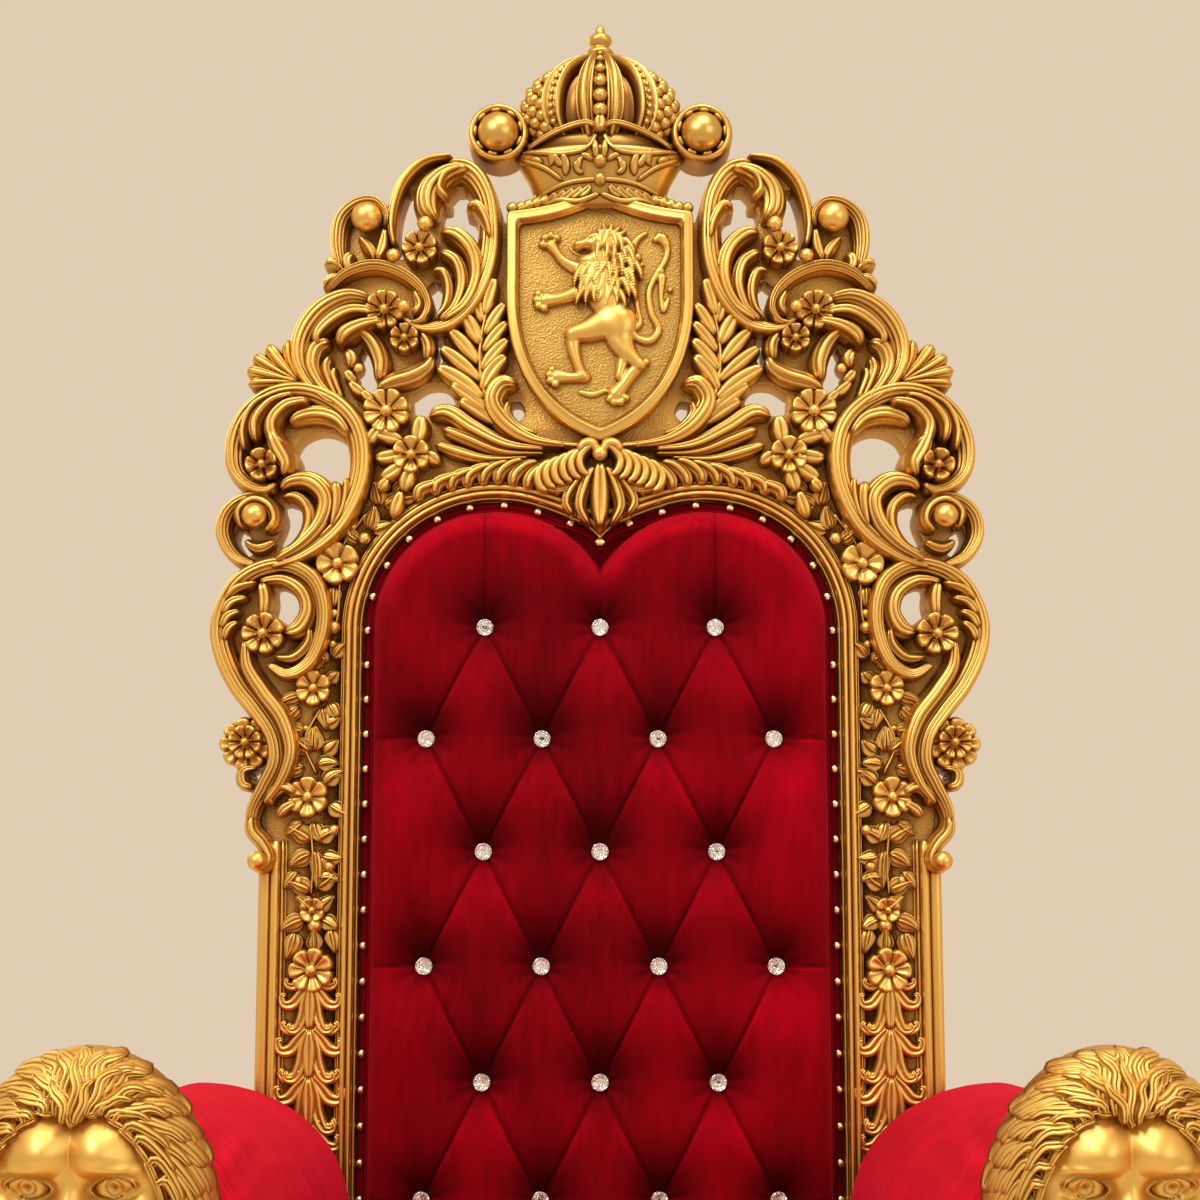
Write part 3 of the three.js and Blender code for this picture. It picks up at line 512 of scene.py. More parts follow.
def velvet(name, colour, deep, nap, thread=(1, 1, 0.16), streaks=0.28):
    """Cut pile: the colour falls to a deep shade where the tone is low, with brushed patches of a lighter
    nap and fine streaks drawn out along the pile."""
    colour = np.array(colour)
    finish = Finish(name)
    tone = finish.node("ShaderNodeAttribute", {"attribute_name": "tone"}, {}, "Fac")
    brushed = finish.noise(9.0, 4.0, (1, 1, 0.45), 0.6)
    streak = finish.noise(130.0, 4.0, thread)
    light = finish.between(brushed * (1 - streaks) + streak * streaks, 0.30, 0.70)
    shade = finish.mix(light, deep * colour, nap * colour)
    shade = finish.mix(finish.between(tone, 0.0, 1.0), 0.12 * colour, shade)
    pile = finish.noise(1500.0, 2.0)
    weave = finish.noise(420.0, 2.0, thread)
    normal = finish.bump(pile, 0.0003, 0.35, finish.bump(weave, 0.0004, 0.35))
    return finish.surface(Base_Color=shade, Roughness=0.88, Normal=normal, Sheen_Weight=0.38,
                          Sheen_Roughness=0.45, Sheen_Tint=(1.0, 0.03, 0.08), Specular_IOR_Level=0.05)


def cut_glass():
    """Clear cut glass."""
    finish = Finish("cut_glass")
    return finish.surface(Base_Color=(1, 1, 1), Roughness=0.02, Transmission_Weight=1.0, IOR=1.62)


def foil():
    """Bright silver behind the glass."""
    finish = Finish("silver_foil")
    dull = finish.noise(500.0)
    return finish.surface(Base_Color=(0.93, 0.93, 0.92), Metallic=1.0, Roughness=dull * 0.12 + 0.08)


def brass():
    """Polished pale brass of the nails."""
    finish = Finish("nail_brass")
    shine = finish.noise(220.0)
    return finish.surface(Base_Color=finish.mix(shine, (0.92, 0.66, 0.32), (1.0, 0.83, 0.52)), Metallic=1.0,
                          Roughness=shine * 0.16 + 0.16)


def dark_cloth():
    """Dull dark cloth tacked over the back."""
    finish = Finish("dark_back_cloth")
    weave = finish.noise(1100.0, 2.0, (1, 1, 0.5))
    patch = finish.noise(12.0)
    shade = finish.mix(patch, (0.020, 0.006, 0.008), (0.045, 0.014, 0.017))
    return finish.surface(Base_Color=shade, Roughness=0.95, Normal=finish.bump(weave, 0.0004, 0.5))


def timber():
    """Bare beech of the seat's deck."""
    finish = Finish("bare_timber")
    rings = finish.noise(26.0, 5.0, (0.25, 3, 3))
    pores = finish.noise(420.0, 3.0, (0.08, 1, 1))
    shade = finish.mix(finish.between(rings, 0.35, 0.65), (0.30, 0.17, 0.08), (0.45, 0.28, 0.15))
    return finish.surface(Base_Color=shade, Roughness=0.62, Normal=finish.bump(pores, 0.0005, 0.4))


# ---- the carved back -----------------------------------------------------------------------------
# Great scrolls: name, rise, reeds, then x, z, half-width along each.
SCROLLS = (
    ("shield", 32, RIM, ((-226, 1597, 4), (-205, 1586, 8), (-178, 1590, 13), (-150, 1616, 15),
        (-131, 1660, 15), (-127, 1705, 14), (-133, 1745, 14), (-151, 1771, 15), (-178, 1778, 13))),
    ("shield_hook", 35, FIVE, ((-150, 1774, 7), (-176, 1769, 15), (-195, 1750, 19), (-197, 1728, 17),
        (-188, 1711, 8))),
    ("branch", 26, THREE, ((-170, 1791, 4), (-203, 1785, 7), (-226, 1763, 8), (-237, 1735, 8),
        (-240, 1706, 7), (-236, 1682, 4))),
    ("shoulder", 31, RIM, ((-262, 1618, 8), (-288, 1622, 12), (-316, 1609, 15), (-336, 1583, 15),
        (-342, 1554, 13), (-333, 1528, 12), (-314, 1507, 9), (-297, 1495, 4))),
    ("great", 33, RIM, ((-372, 1308, 6), (-336, 1323, 12), (-300, 1352, 15), (-278, 1392, 15),
        (-271, 1432, 15), (-279, 1470, 15), (-304, 1497, 15), (-340, 1510, 14), (-376, 1503, 14),
        (-402, 1479, 14), (-413, 1447, 14), (-410, 1418, 12), (-395, 1403, 11), (-376, 1398, 9),
        (-364, 1405, 6))),
    ("lower", 31, RIM, ((-372, 1199, 5), (-350, 1187, 9), (-328, 1198, 11), (-314, 1228, 12),
        (-312, 1264, 12), (-324, 1294, 12), (-350, 1309, 12), (-379, 1306, 12), (-405, 1290, 13),
        (-421, 1262, 13), (-426, 1236, 13), (-420, 1206, 13), (-404, 1174, 13), (-382, 1146, 13),
        (-364, 1118, 12), (-360, 1088, 12), (-372, 1060, 11), (-384, 1035, 9), (-386, 1018, 8))),
    ("lower_inner", 30, FIVE, ((-396, 1226, 7), (-394, 1196, 11), (-376, 1166, 13), (-354, 1136, 13),
        (-344, 1100, 11), (-354, 1066, 9), (-372, 1040, 5))),
    ("side_volute", 27, THREE, ((-386, 1030, 8), (-385, 1012, 10), (-372, 996, 10), (-365, 980, 9),
        (-372, 970, 8), (-384, 972, 5))),
    ("ball", 28, RIM_LEFT, ((-296, 1654, 7), (-301, 1690, 11), (-296, 1717, 11), (-279, 1733, 9),
        (-260, 1735, 8), (-248, 1722, 7), (-247, 1706, 5))),
    ("small", 27, RIM, ((-372, 1388, 6), (-401, 1386, 9), (-420, 1371, 10), (-425, 1347, 10),
        (-412, 1322, 9), (-386, 1309, 5))),
    ("crescent", 32, RIM_LEFT, ((-312, 1628, 4), (-290, 1650, 7), (-258, 1659, 8), (-228, 1650, 8),
        (-206, 1632, 8), (-198, 1610, 8), (-206, 1594, 7), (-222, 1591, 4))),
)
# Fronds that spring from the scrolls: rise, reeds, then x, z, half-width from root to tip.
PLUMES = (
    (40, THREE, ((-158, 1773, 4), (-178, 1764, 7), (-184, 1747, 8), (-173, 1734, 7))),
    (35, THREE, ((-125, 1688, 5), (-131, 1712, 8), (-143, 1730, 9), (-154, 1726, 6))),
    (33, FOUR, ((-180, 1592, 6), (-155, 1612, 10), (-142, 1645, 11), (-147, 1676, 12), (-166, 1696, 12),
        (-184, 1699, 8))),
    (31, FOUR, ((-184, 1592, 5), (-167, 1608, 8), (-158, 1638, 10), (-165, 1664, 10), (-184, 1676, 7))),
    (29, THREE, ((-189, 1594, 4), (-177, 1610, 7), (-174, 1634, 8), (-181, 1652, 7), (-193, 1652, 4))),
    (26, THREE, ((-258, 1664, 4), (-264, 1678, 9), (-278, 1695, 4))),
    (25, CLEFT, ((-256, 1664, 4), (-250, 1682, 8), (-247, 1704, 3))),
    (24, THREE, ((-292, 1652, 5), (-306, 1664, 9), (-318, 1662, 5))),
    (24, THREE, ((-294, 1646, 5), (-308, 1644, 9), (-318, 1634, 5))),
    (28, CLEFT, ((-286, 1650, 4), (-290, 1666, 8), (-282, 1674, 5))),
    (28, THREE, ((-214, 1630, 4), (-206, 1612, 8), (-214, 1598, 5))),
    (35, FOUR, ((-256, 1603, 8), (-284, 1605, 11), (-306, 1594, 12), (-322, 1575, 9), (-321, 1562, 5))),
    (38, FOUR, ((-246, 1592, 6), (-272, 1587, 12), (-290, 1577, 14), (-298, 1562, 9))),
    (30, FOUR, ((-301, 1500, 5), (-319, 1520, 9), (-329, 1543, 12), (-323, 1563, 12), (-306, 1570, 7))),
    (27, THREE, ((-297, 1500, 4), (-307, 1520, 7), (-313, 1540, 8), (-307, 1553, 5))),
    (24, PLAIN, ((-292, 1500, 3), (-299, 1516, 5), (-304, 1532, 5), (-300, 1540, 3))),
    (30, CLEFT, ((-291, 1560, 6), (-283, 1550, 10), (-284, 1536, 7))),
    (30, THREE, ((-277, 1585, 6), (-260, 1570, 11), (-250, 1548, 12), (-251, 1522, 8))),
    (30, THREE, ((-255, 1513, 6), (-236, 1523, 12), (-214, 1530, 13), (-197, 1540, 10), (-190, 1552, 5))),
    (27, THREE, ((-206, 1582, 6), (-196, 1566, 10), (-197, 1546, 8))),
    (29, FOUR, ((-283, 1460, 6), (-300, 1480, 11), (-322, 1486, 12), (-343, 1481, 10), (-352, 1471, 5))),
    (38, FOUR, ((-328, 1499, 6), (-356, 1493, 11), (-372, 1473, 12), (-368, 1455, 11), (-354, 1445, 8))),
    (40, FOUR, ((-374, 1466, 8), (-364, 1444, 14), (-354, 1424, 13), (-358, 1410, 7))),
    (37, THREE, ((-345, 1507, 5), (-374, 1497, 9), (-391, 1473, 11), (-388, 1449, 7))),
    (35, THREE, ((-362, 1510, 4), (-392, 1494, 8), (-404, 1467, 9), (-401, 1440, 5))),
    (34, FIVE, ((-366, 1313, 5), (-334, 1335, 12), (-313, 1362, 14), (-310, 1388, 14), (-328, 1406, 14),
        (-350, 1405, 11), (-361, 1395, 6))),
    (29, THREE, ((-362, 1322, 4), (-341, 1334, 8), (-329, 1356, 9), (-331, 1377, 9), (-345, 1389, 8),
        (-359, 1387, 4))),
    (31, THREE, ((-302, 1352, 5), (-298, 1384, 9), (-300, 1408, 8))),
    (27, THREE, ((-318, 1338, 4), (-294, 1366, 8), (-287, 1396, 7), (-288, 1412, 4))),
    (32, THREE, ((-402, 1350, 5), (-407, 1371, 9), (-391, 1385, 10), (-373, 1378, 10), (-367, 1360, 9),
        (-378, 1347, 6))),
    (24, THREE, ((-402, 1339, 4), (-386, 1331, 9), (-365, 1338, 5))),
    (27, FOUR, ((-384, 1291, 5), (-356, 1294, 9), (-334, 1280, 11), (-328, 1258, 12), (-338, 1238, 13),
        (-356, 1233, 8))),
    (30, CLEFT, ((-377, 1250, 7), (-376, 1272, 9), (-380, 1292, 7))),
    (31, THREE, ((-421, 1268, 5), (-409, 1283, 8), (-384, 1290, 4))),
    (30, CLEFT, ((-424, 1252, 5), (-413, 1268, 7), (-394, 1273, 3))),
    (29, CLEFT, ((-425, 1236, 5), (-417, 1252, 7), (-402, 1258, 3))),
    (28, CLEFT, ((-422, 1222, 5), (-416, 1238, 7), (-404, 1246, 3))),
    (22, THREE, ((-366, 1206, 4), (-344, 1206, 8), (-328, 1222, 8), (-326, 1240, 4))),
    (26, THREE, ((-336, 1052, 5), (-352, 1060, 9), (-365, 1050, 9), (-362, 1038, 5))),
    (24, CLEFT, ((-336, 1044, 4), (-350, 1036, 8), (-358, 1026, 5))),
    (26, FOUR, ((-380, 1082, 4), (-396, 1078, 8), (-396, 1064, 9), (-384, 1060, 5))),
    (29, FOUR, ((-62, 1443, 4), (-105, 1449, 9), (-145, 1469, 12), (-175, 1487, 12), (-195, 1483, 8))),
    (25, THREE, ((-62, 1438, 3), (-112, 1441, 7), (-150, 1456, 10), (-180, 1468, 7))),
    (23, THREE, ((-80, 1434, 3), (-130, 1433, 7), (-165, 1442, 9), (-188, 1450, 5))),
    (33, FIVE, ((-38, 1446, 4), (-80, 1455, 11), (-110, 1476, 15), (-123, 1501, 15), (-112, 1520, 14),
        (-93, 1519, 8))),
    (27, THREE, ((-70, 1460, 3), (-94, 1470, 6), (-107, 1487, 7), (-103, 1500, 4))),
)
# Leaves: x and z of the root, x and z of the tip, half-width, bend in degrees.
BLADES = (
    (-133, 1598, -119, 1644, 10, -8), (-132, 1576, -107, 1614, 10, -16), (-134, 1556, -104, 1592, 10, -18),
    (-136, 1534, -103, 1571, 10.5, -20), (-134, 1510, -101, 1551, 12, -50),
    (-134, 1590, -147, 1626, 10, 14), (-136, 1564, -158, 1603, 12, 14), (-137, 1542, -174, 1583, 11, 16),
    (-134, 1522, -183, 1562, 10.5, 12), (-131, 1500, -188, 1537, 12, 24), (-126, 1486, -172, 1518, 11, 22),
    (-118, 1472, -162, 1500, 11, 22), (-248, 1472, -264, 1448, 10, 10), (-222, 1452, -258, 1461, 11, 20),
    (-222, 1440, -256, 1435, 11, -20), (-222, 1428, -250, 1410, 11, -20), (-213, 1424, -222, 1394, 12, 10),
    (-200, 1440, -182, 1426, 10, -20), (-238, 1410, -250, 1394, 9, 20), (-224, 1396, -233, 1364, 10, 10),
    (-208, 1448, -203, 1484, 13, 0),
)
# Flowers: x, z, radius, petals, rise.
FLOWERS = (
    (-207, 1680, 22, 7, 33), (-246, 1605, 24, 9, 40), (-223, 1573, 18, 6, 34), (-243, 1488, 28, 8, 31),
    (-214, 1437, 23, 6, 32), (-296, 1313, 26, 5, 23), (-377, 1232, 25, 7, 37), (-321, 1171, 21, 6, 22),
    (-394, 1108, 31, 9, 25), (-394, 1110, 20, 8, 36), (-325, 1049, 24, 6, 22), (-318, 858, 26, 7, 22),
    (-318, 924, 15, 4, 18), (-381, 1424, 20, 5, 44),
)
# Balls: x, z, radius, rise.
BALLS = (
    (-268, 1715, 18, 24), (-236, 1668, 8, 30), (-200, 1705, 9, 32), (-223, 1606, 7, 38),
    (-274, 1536, 6, 26), (-388, 1365, 14, 32), (-377, 978, 11, 28), (-266, 1341, 7, 14),
)
# Holes cut through the board, each a loop of x, z.
PIERCINGS = (
    ((-222, 1756), (-206, 1748), (-204, 1712), (-212, 1692), (-228, 1672), (-240, 1676), (-238, 1712),
     (-232, 1742)),
    ((-166, 1757), (-148, 1756), (-138, 1738), (-140, 1708), (-136, 1684), (-146, 1672), (-166, 1692),
     (-182, 1706), (-180, 1738)),
    ((-190, 1646), (-178, 1634), (-180, 1612), (-192, 1596), (-205, 1602), (-207, 1628)),
    ((-272, 1568), (-256, 1552), (-252, 1524), (-258, 1504), (-272, 1510), (-281, 1540)),
    ((-216, 1510), (-196, 1522), (-176, 1520), (-166, 1498), (-186, 1488), (-212, 1488)),
    ((-192, 1580), (-180, 1576), (-180, 1552), (-188, 1542), (-194, 1556)),
    ((-106, 1500), (-92, 1502), (-86, 1488), (-96, 1478), (-108, 1486)),
    ((-352, 1440), (-341, 1459), (-318, 1468), (-295, 1460), (-283, 1438), (-284, 1412), (-296, 1400),
     (-318, 1402), (-346, 1416)),
    ((-362, 1384), (-343, 1386), (-333, 1368), (-337, 1344), (-354, 1327), (-367, 1334), (-360, 1358)),
    ((-402, 1364), (-413, 1352), (-413, 1334), (-402, 1321), (-390, 1330), (-398, 1346)),
    ((-368, 1286), (-350, 1290), (-338, 1272), (-338, 1250), (-354, 1238), (-372, 1256)),
)
# The board's left edge, x, z, up from the post to the crown.
GROUND = (
    (-369, 1000), (-373, 1016), (-374, 1036), (-367, 1054), (-352, 1080), (-348, 1107), (-354, 1134),
    (-372, 1164), (-397, 1197), (-418, 1226), (-425, 1257), (-419, 1286), (-404, 1308), (-411, 1321),
    (-421, 1347), (-416, 1370), (-400, 1381), (-404, 1409), (-413, 1442), (-411, 1472), (-393, 1496),
    (-363, 1510), (-345, 1528), (-341, 1567), (-323, 1602), (-301, 1627), (-304, 1642), (-295, 1666),
    (-298, 1692), (-290, 1719), (-273, 1730), (-254, 1722), (-243, 1734), (-227, 1765), (-203, 1780),
    (-172, 1784), (-142, 1773), (-120, 1745), (-110, 1716),
)


def filled(outline, holes, thick, bevel):
    """A flat board of some thickness with holes, from a filled curve: mesh points as x, z and rise."""
    curve = bpy.data.curves.new("board", "CURVE")
    curve.dimensions, curve.fill_mode = "2D", "BOTH"
    curve.extrude, curve.offset = thick / 2 - bevel, -bevel
    curve.bevel_depth, curve.bevel_resolution = bevel, 2
    for loop in (outline, *holes):
        line = curve.splines.new("POLY")
        line.points.add(len(loop) - 1)
        line.points.foreach_set("co", np.column_stack([loop, np.zeros(len(loop)),
                                                       np.ones(len(loop))]).ravel())
        line.use_cyclic_u = True
    carrier = bpy.data.objects.new("board", curve)
    bpy.context.scene.collection.objects.link(carrier)
    mesh = bpy.data.meshes.new_from_object(carrier.evaluated_get(bpy.context.evaluated_depsgraph_get()))
    bpy.data.objects.remove(carrier)
    bpy.data.curves.remove(curve)
    return mesh


def on_plane(mesh, middle, place):
    """Moves a flat board's points to their place, and closes its seams."""
    flat = np.empty(len(mesh.vertices) * 3)
    mesh.vertices.foreach_get("co", flat)
    flat = flat.reshape(-1, 3)
    mesh.vertices.foreach_set("co", place(flat[:, 0], flat[:, 2] + middle, flat[:, 1]).ravel())
    work = bmesh.new()
    work.from_mesh(mesh)
    bmesh.ops.remove_doubles(work, verts=work.verts, dist=0.00002)
    bmesh.ops.recalc_face_normals(work, faces=work.faces)
    work.to_mesh(mesh)
    work.free()


def both_sides(left):
    """A closed outline from its left half, whose ends lie on the middle line or are joined across it."""
    right = left[np.abs(left[:, 0]) > 0.5][::-1] * (-1, 1)
    return np.vstack([left, right])


def make_ground():
    """The board behind the carving: it fills the crest up to its outline, save the arched opening and the
    piercings."""
    edge = spine([(*p, 0) for p in GROUND], 6.0)[:, :2]
    left = np.vstack([[(-POST_OUTER + 4, RAKE_FROM), (-POST_OUTER + 4, POST_TOP)], edge,
                      [(-86, 1738), (-76, 1750), (0, 1790)]])
    holes = [both_sides(np.stack(arch_edge(0.0, RAKE_FROM - 30), axis=1))]
    for loop in PIERCINGS:
        round_loop = spine([(*p, 0) for p in (*loop, loop[0])], 3.0)[:-1, :2]
        holes += [round_loop, round_loop * (-1, 1)]
    outline = both_sides(left)
    mesh = filled(outline, holes, PLANK, 1.5)
    on_plane(mesh, -PLANK / 2, on_back)
    tone = mesh.attributes.new("tone", "FLOAT", "POINT")
    tone.data.foreach_set("value", np.full(len(mesh.vertices), 0.35, np.float32))
    return place_piece(mesh, "frame_board", gilding("stippled_gold_ground", 0.0006, 0.12, 0.88, shade=1.2),
                       "gilt_wood", "back_frame")


def make_legs_and_cross_rail(carving):
    """Rear legs, the posts carried down and kicked back, with a chamfer; the rail behind the pad."""
    z = np.linspace(0.0, RAKE_FROM, 40)
    kick = 60.0 * np.clip(1 - z / 430, 0.0, 1.0) ** 1.5
    narrow = 22.0 * np.clip(1 - z / 280, 0.0, 1.0)
    x0, x1 = -POST_OUTER + narrow, -SIDE - narrow
    cut = 4.0
    corners = ((0, cut, 0), (cut, 0, 0), (-cut, 0, 1), (0, cut, 1), (0, PLANK - cut, 1), (-cut, PLANK, 1),
               (cut, PLANK, 0), (0, PLANK - cut, 0))
    points = np.stack([np.stack([(x1 if side else x0) + dx, FRONT + kick + dy, z], axis=-1)
                       for dx, dy, side in corners], axis=1) * MM
    carving.skin(points, 0.6)
    low, high, deep = 420.0, 500.0, PLANK - 14
    x = np.array([-SIDE - 4, SIDE + 4])[:, None]
    y = np.array([deep, deep, PLANK, PLANK])
    z = np.array([low, high, high, low])
    points = np.stack(np.broadcast_arrays(x, FRONT + y, z), axis=-1) * MM
    carving.skin(points, 0.5, pair=False)


def sweep_edge(carving, profile, low, tones):
    """A moulding carried round the left half of the arched opening; the profile is (distance out, rise)."""
    x, z = zip(*(arch_edge(out, low, 110) for out, _ in profile))
    rise = np.array([height for _, height in profile])
    carving.skin(on_back(np.array(x).T, np.broadcast_to(rise, (len(x[0]), len(rise))), np.array(z).T), tones)


def round_profile(beads):
    """A moulding of round beads side by side: each is centre, half-width, height, foot. Gives profile and
    tones."""
    BACK = -8.0
    turn = np.linspace(0.0, np.pi, 9)
    profile, tones = [(beads[0][0] - beads[0][1], BACK)], [0.1]
    for centre, half, height, foot in beads:
        profile += [(centre - half * np.cos(a), foot + (height - foot) * np.sin(a)) for a in turn]
        tones += list(0.42 + 0.58 * np.sin(turn))
    profile.append((beads[-1][0] + beads[-1][1], BACK))
    return profile, np.array(tones + [0.1])


def make_mouldings(carving):
    """Double bead and fillets round the opening, the post's outer moulding and its foot block."""
    beads = ((2.0, 2.0, 10, 6), (7.6, 3.9, 16, 8), (15.0, 3.9, 15, 8), (20.2, 1.5, 10, 7), (23.0, 1.2, 6, 4))
    profile, tones = round_profile(beads)
    sweep_edge(carving, profile, 505.0, tones)
    profile, tones = round_profile(((-371.5, 6.8, 11, 6), (-359.5, 5.4, 15, 8), (-352.0, 2.0, 9, 6),
                                    (-348.6, 1.4, 5, 3)))
    z = np.concatenate([[POST_BLOCK - 2], np.linspace(POST_BLOCK, 1000.0, 30)])[:, None]
    x, rise = np.array(profile).T
    carving.skin(on_back(x + 0 * z, rise + 0 * z, z + 0 * x), tones)
    x, rise = np.array([(-379.6, -30), (-379.6, 12), (-376, 15), (-286, 15), (-282.4, 12), (-282.4, -30)],
                       float).T
    z = np.array([400.0, 402.0, RAKE_FROM, POST_BLOCK - 3, POST_BLOCK])[:, None]
    carving.skin(on_back(x + 0 * z, rise + 0 * z, z + 0 * x), 0.5)


def make_vine(carving):
    """Leaves, buds and stems on the post and up the haunch, between the flowers."""
    VINE, MIDDLE = 15.0, -318  # rise of the leaves, middle of the post
    back = -4.0
    pointed = (0.35, 0.95, 1.0, 0.80, 0.45, 0.06)
    stem = dict(rise=10.0, back=back)
    for line in (((-330, 1228, 2), (-300, 1240, 2), (-294, 1285, 2), (-292, 1330, 2), (-264, 1372, 2)),
                 ((-312, 1150, 2), (-330, 1110, 2), (-316, 1074, 2)),
                 ((-322, 1020, 2), (-318, 975, 2), (-320, 940, 2)), ((-318, 905, 2), (-316, 880, 2)),
                 ((-318, 836, 3), (-316, 790, 4), (-318, 740, 4), (-319, 680, 3))):
        carving.frond(line, **stem)
    # x, z, length, half-width, direction, bend
    for x, z, length, half, turn, bend in (
        (-262, 1352, 30, 10, 70, 20), (-258, 1350, 28, 9, 20, 10), (-272, 1338, 26, 9, 150, -20),
        (-282, 1340, 22, 8, 100, 20), (-245, 1378, 30, 10, 40, -10), (-250, 1380, 30, 10, 95, 20),
        (-232, 1392, 26, 9, 60, -20), (-228, 1388, 24, 8, 0, 25), (-276, 1356, 24, 8, 130, 0),
        (-300, 1288, 26, 9, -90, 0), (-300, 1205, 24, 9, 60, -30), (-306, 1200, 22, 8, 130, 20),
        (-320, 1190, 26, 9, 90, -30), (-306, 1178, 18, 9, 40, 10), (-334, 1162, 30, 9, 190, 25),
        (-336, 1150, 26, 9, 220, 20), (-312, 1150, 28, 9, -70, -20), (-304, 1155, 22, 9, -60, 10),
        (-320, 1128, 26, 10, -95, 10), (-308, 1130, 20, 9, 15, 30), (-330, 1122, 24, 9, 170, -30),
        (-322, 1100, 28, 10, 150, -30), (-318, 1100, 30, 10, 88, 10), (-310, 1098, 24, 10, 30, 30),
        (-316, 1084, 26, 10, 20, -40), (-330, 1082, 28, 10, 190, 35),
        (-308, 1062, 30, 11, 50, -40), (-302, 1042, 28, 10, -40, 30), (-318, 1022, 26, 10, -80, 30),
        (-330, 1022, 26, 10, 230, -30), (-320, 1000, 34, 11, 140, 25), (-314, 1000, 28, 11, 40, -30),
        (-320, 986, 30, 11, 200, 30), (-310, 984, 28, 10, -20, 40), (-316, 990, 46, 8, -82, -10),
        (-334, 966, 26, 9, 230, 0), (-312, 958, 26, 9, 20, -70), (-320, 945, 30, 11, 150, 20),
        (-314, 948, 28, 10, 30, 20), (-316, 922, 28, 10, 135, 10), (-314, 922, 28, 9, 45, -10),
        (-326, 914, 32, 11, 195, 30), (-309, 914, 24, 10, -20, -25), (-336, 900, 34, 11, 260, -20),
        (-298, 904, 30, 10, -70, -20), (-315, 878, 26, 10, 90, 0),
    ):
        carving.leaf(x, z, length, half * 1.08, turn, bend, rise=VINE, back=back, reeds=VEINED, shape=pointed)
    for x, z, radius in ((-300, 1256, 6), (-301, 1221, 5), (-300, 1240, 8), (-280, 1356, 5), (-296, 1012, 7),
                         (-300, 972, 7), (-335, 956, 6), (-329, 1126, 4), (-294, 1074, 5), (-315, 907, 9)):
        carving.ball(x, z, radius, 6.0, around=14)
    # falls of curling acanthus below the last big flower: three lobes a side that roll up at their tips
    for z, size in ((838, 0.95), (790, 1.05), (738, 1.1), (686, 1.0)):
        for side in (1, -1):
            for rise, knots in (
                (VINE, ((1, 6, 3), (6, -14, 8), (9, -34, 9), (17, -48, 7), (25, -46, 5), (22, -38, 3))),
                (VINE - 1, ((2, 6, 3), (11, -6, 8), (21, -18, 9), (31, -18, 7), (33, -8, 5), (27, -6, 3))),
                (VINE - 2, ((2, 8, 3), (12, 6, 7), (22, 2, 7), (29, 7, 5), (25, 13, 3)))):
                through = [(MIDDLE + side * size * x, z + size * down, size * half)
                           for x, down, half in knots]
                carving.frond(through, rise=rise, reeds=CLEFT, back=back, step=2.5)
        carving.leaf(MIDDLE, z + 4, 52 * size, 9 * size, 270, 0, rise=VINE + 3, back=back, reeds=CLEFT)


def make_crest(scrolls, leaves):
    """The pierced crest and shoulders: scrolls in one carving, leaves, flowers and balls in another."""
    for _, rise, reeds, through in SCROLLS:
        scrolls.frond(through, rise=rise, reeds=reeds, fine=6, step=3.5, groove=0.6)
    for rise, reeds, through in PLUMES:
        leaves.frond(through, rise=rise, reeds=reeds, fine=5, step=3.8, swell=1.3)
    for k, (x, z, tip_x, tip_z, half, bend) in enumerate(BLADES):
        leaves.blade(x, z, tip_x, tip_z, half, bend, rise=25 - k % 3, reeds=CLEFT, back=-12.0, groove=0.55)
    for x, z, radius, petals, rise in FLOWERS:
        leaves.rosette(x, z, radius, petals, rise)
    for x, z, radius, rise in BALLS:
        leaves.ball(x, z, radius, rise)
    # fan of lobes on the corner of the crest
    for k, (x, z, half) in enumerate(((-358, 1574, 10), (-382, 1568, 10), (-398, 1555, 10),
                                      (-405, 1538, 10), (-403, 1522, 9))):
        scrolls.frond(((-342, 1522, 4), ((x - 350) / 2, (z + 1524) / 2, 8), (x, z, half)),
                      rise=21 + 2 * (k % 2), reeds=THREE, swell=1.5)
    # stem of the blades at the foot of the shield
    scrolls.frond(((-14, 1447, 5), (-70, 1453, 8), (-108, 1470, 9), (-128, 1500, 7), (-137, 1545, 5),
                   (-134, 1584, 4), (-124, 1626, 2)), rise=22, reeds=THREE)
    # husks laid like tiles along the top of the arch, each over the next
    for k, (x, z) in enumerate(((-82, 1399), (-99, 1403), (-116, 1406), (-133, 1405), (-151, 1402),
                                (-169, 1398), (-187, 1393), (-206, 1386))):
        leaves.frond(((x + 30, z + 28 - k, 4), (x + 14, z + 23 - k, 9), (x + 2, z + 10, 10), (x, z - 4, 8)),
                     rise=26 - k % 2, reeds=THREE, swell=1.2, step=2.5)
    # petals that hang from the shoulder scroll
    for x, z, tip_x, tip_z, half in ((-291, 1536, -276, 1520, 8), (-286, 1522, -266, 1506, 8),
                                     (-272, 1512, -256, 1498, 7)):
        leaves.blade(x, z, tip_x, tip_z, half, 10, rise=28, back=-12.0)


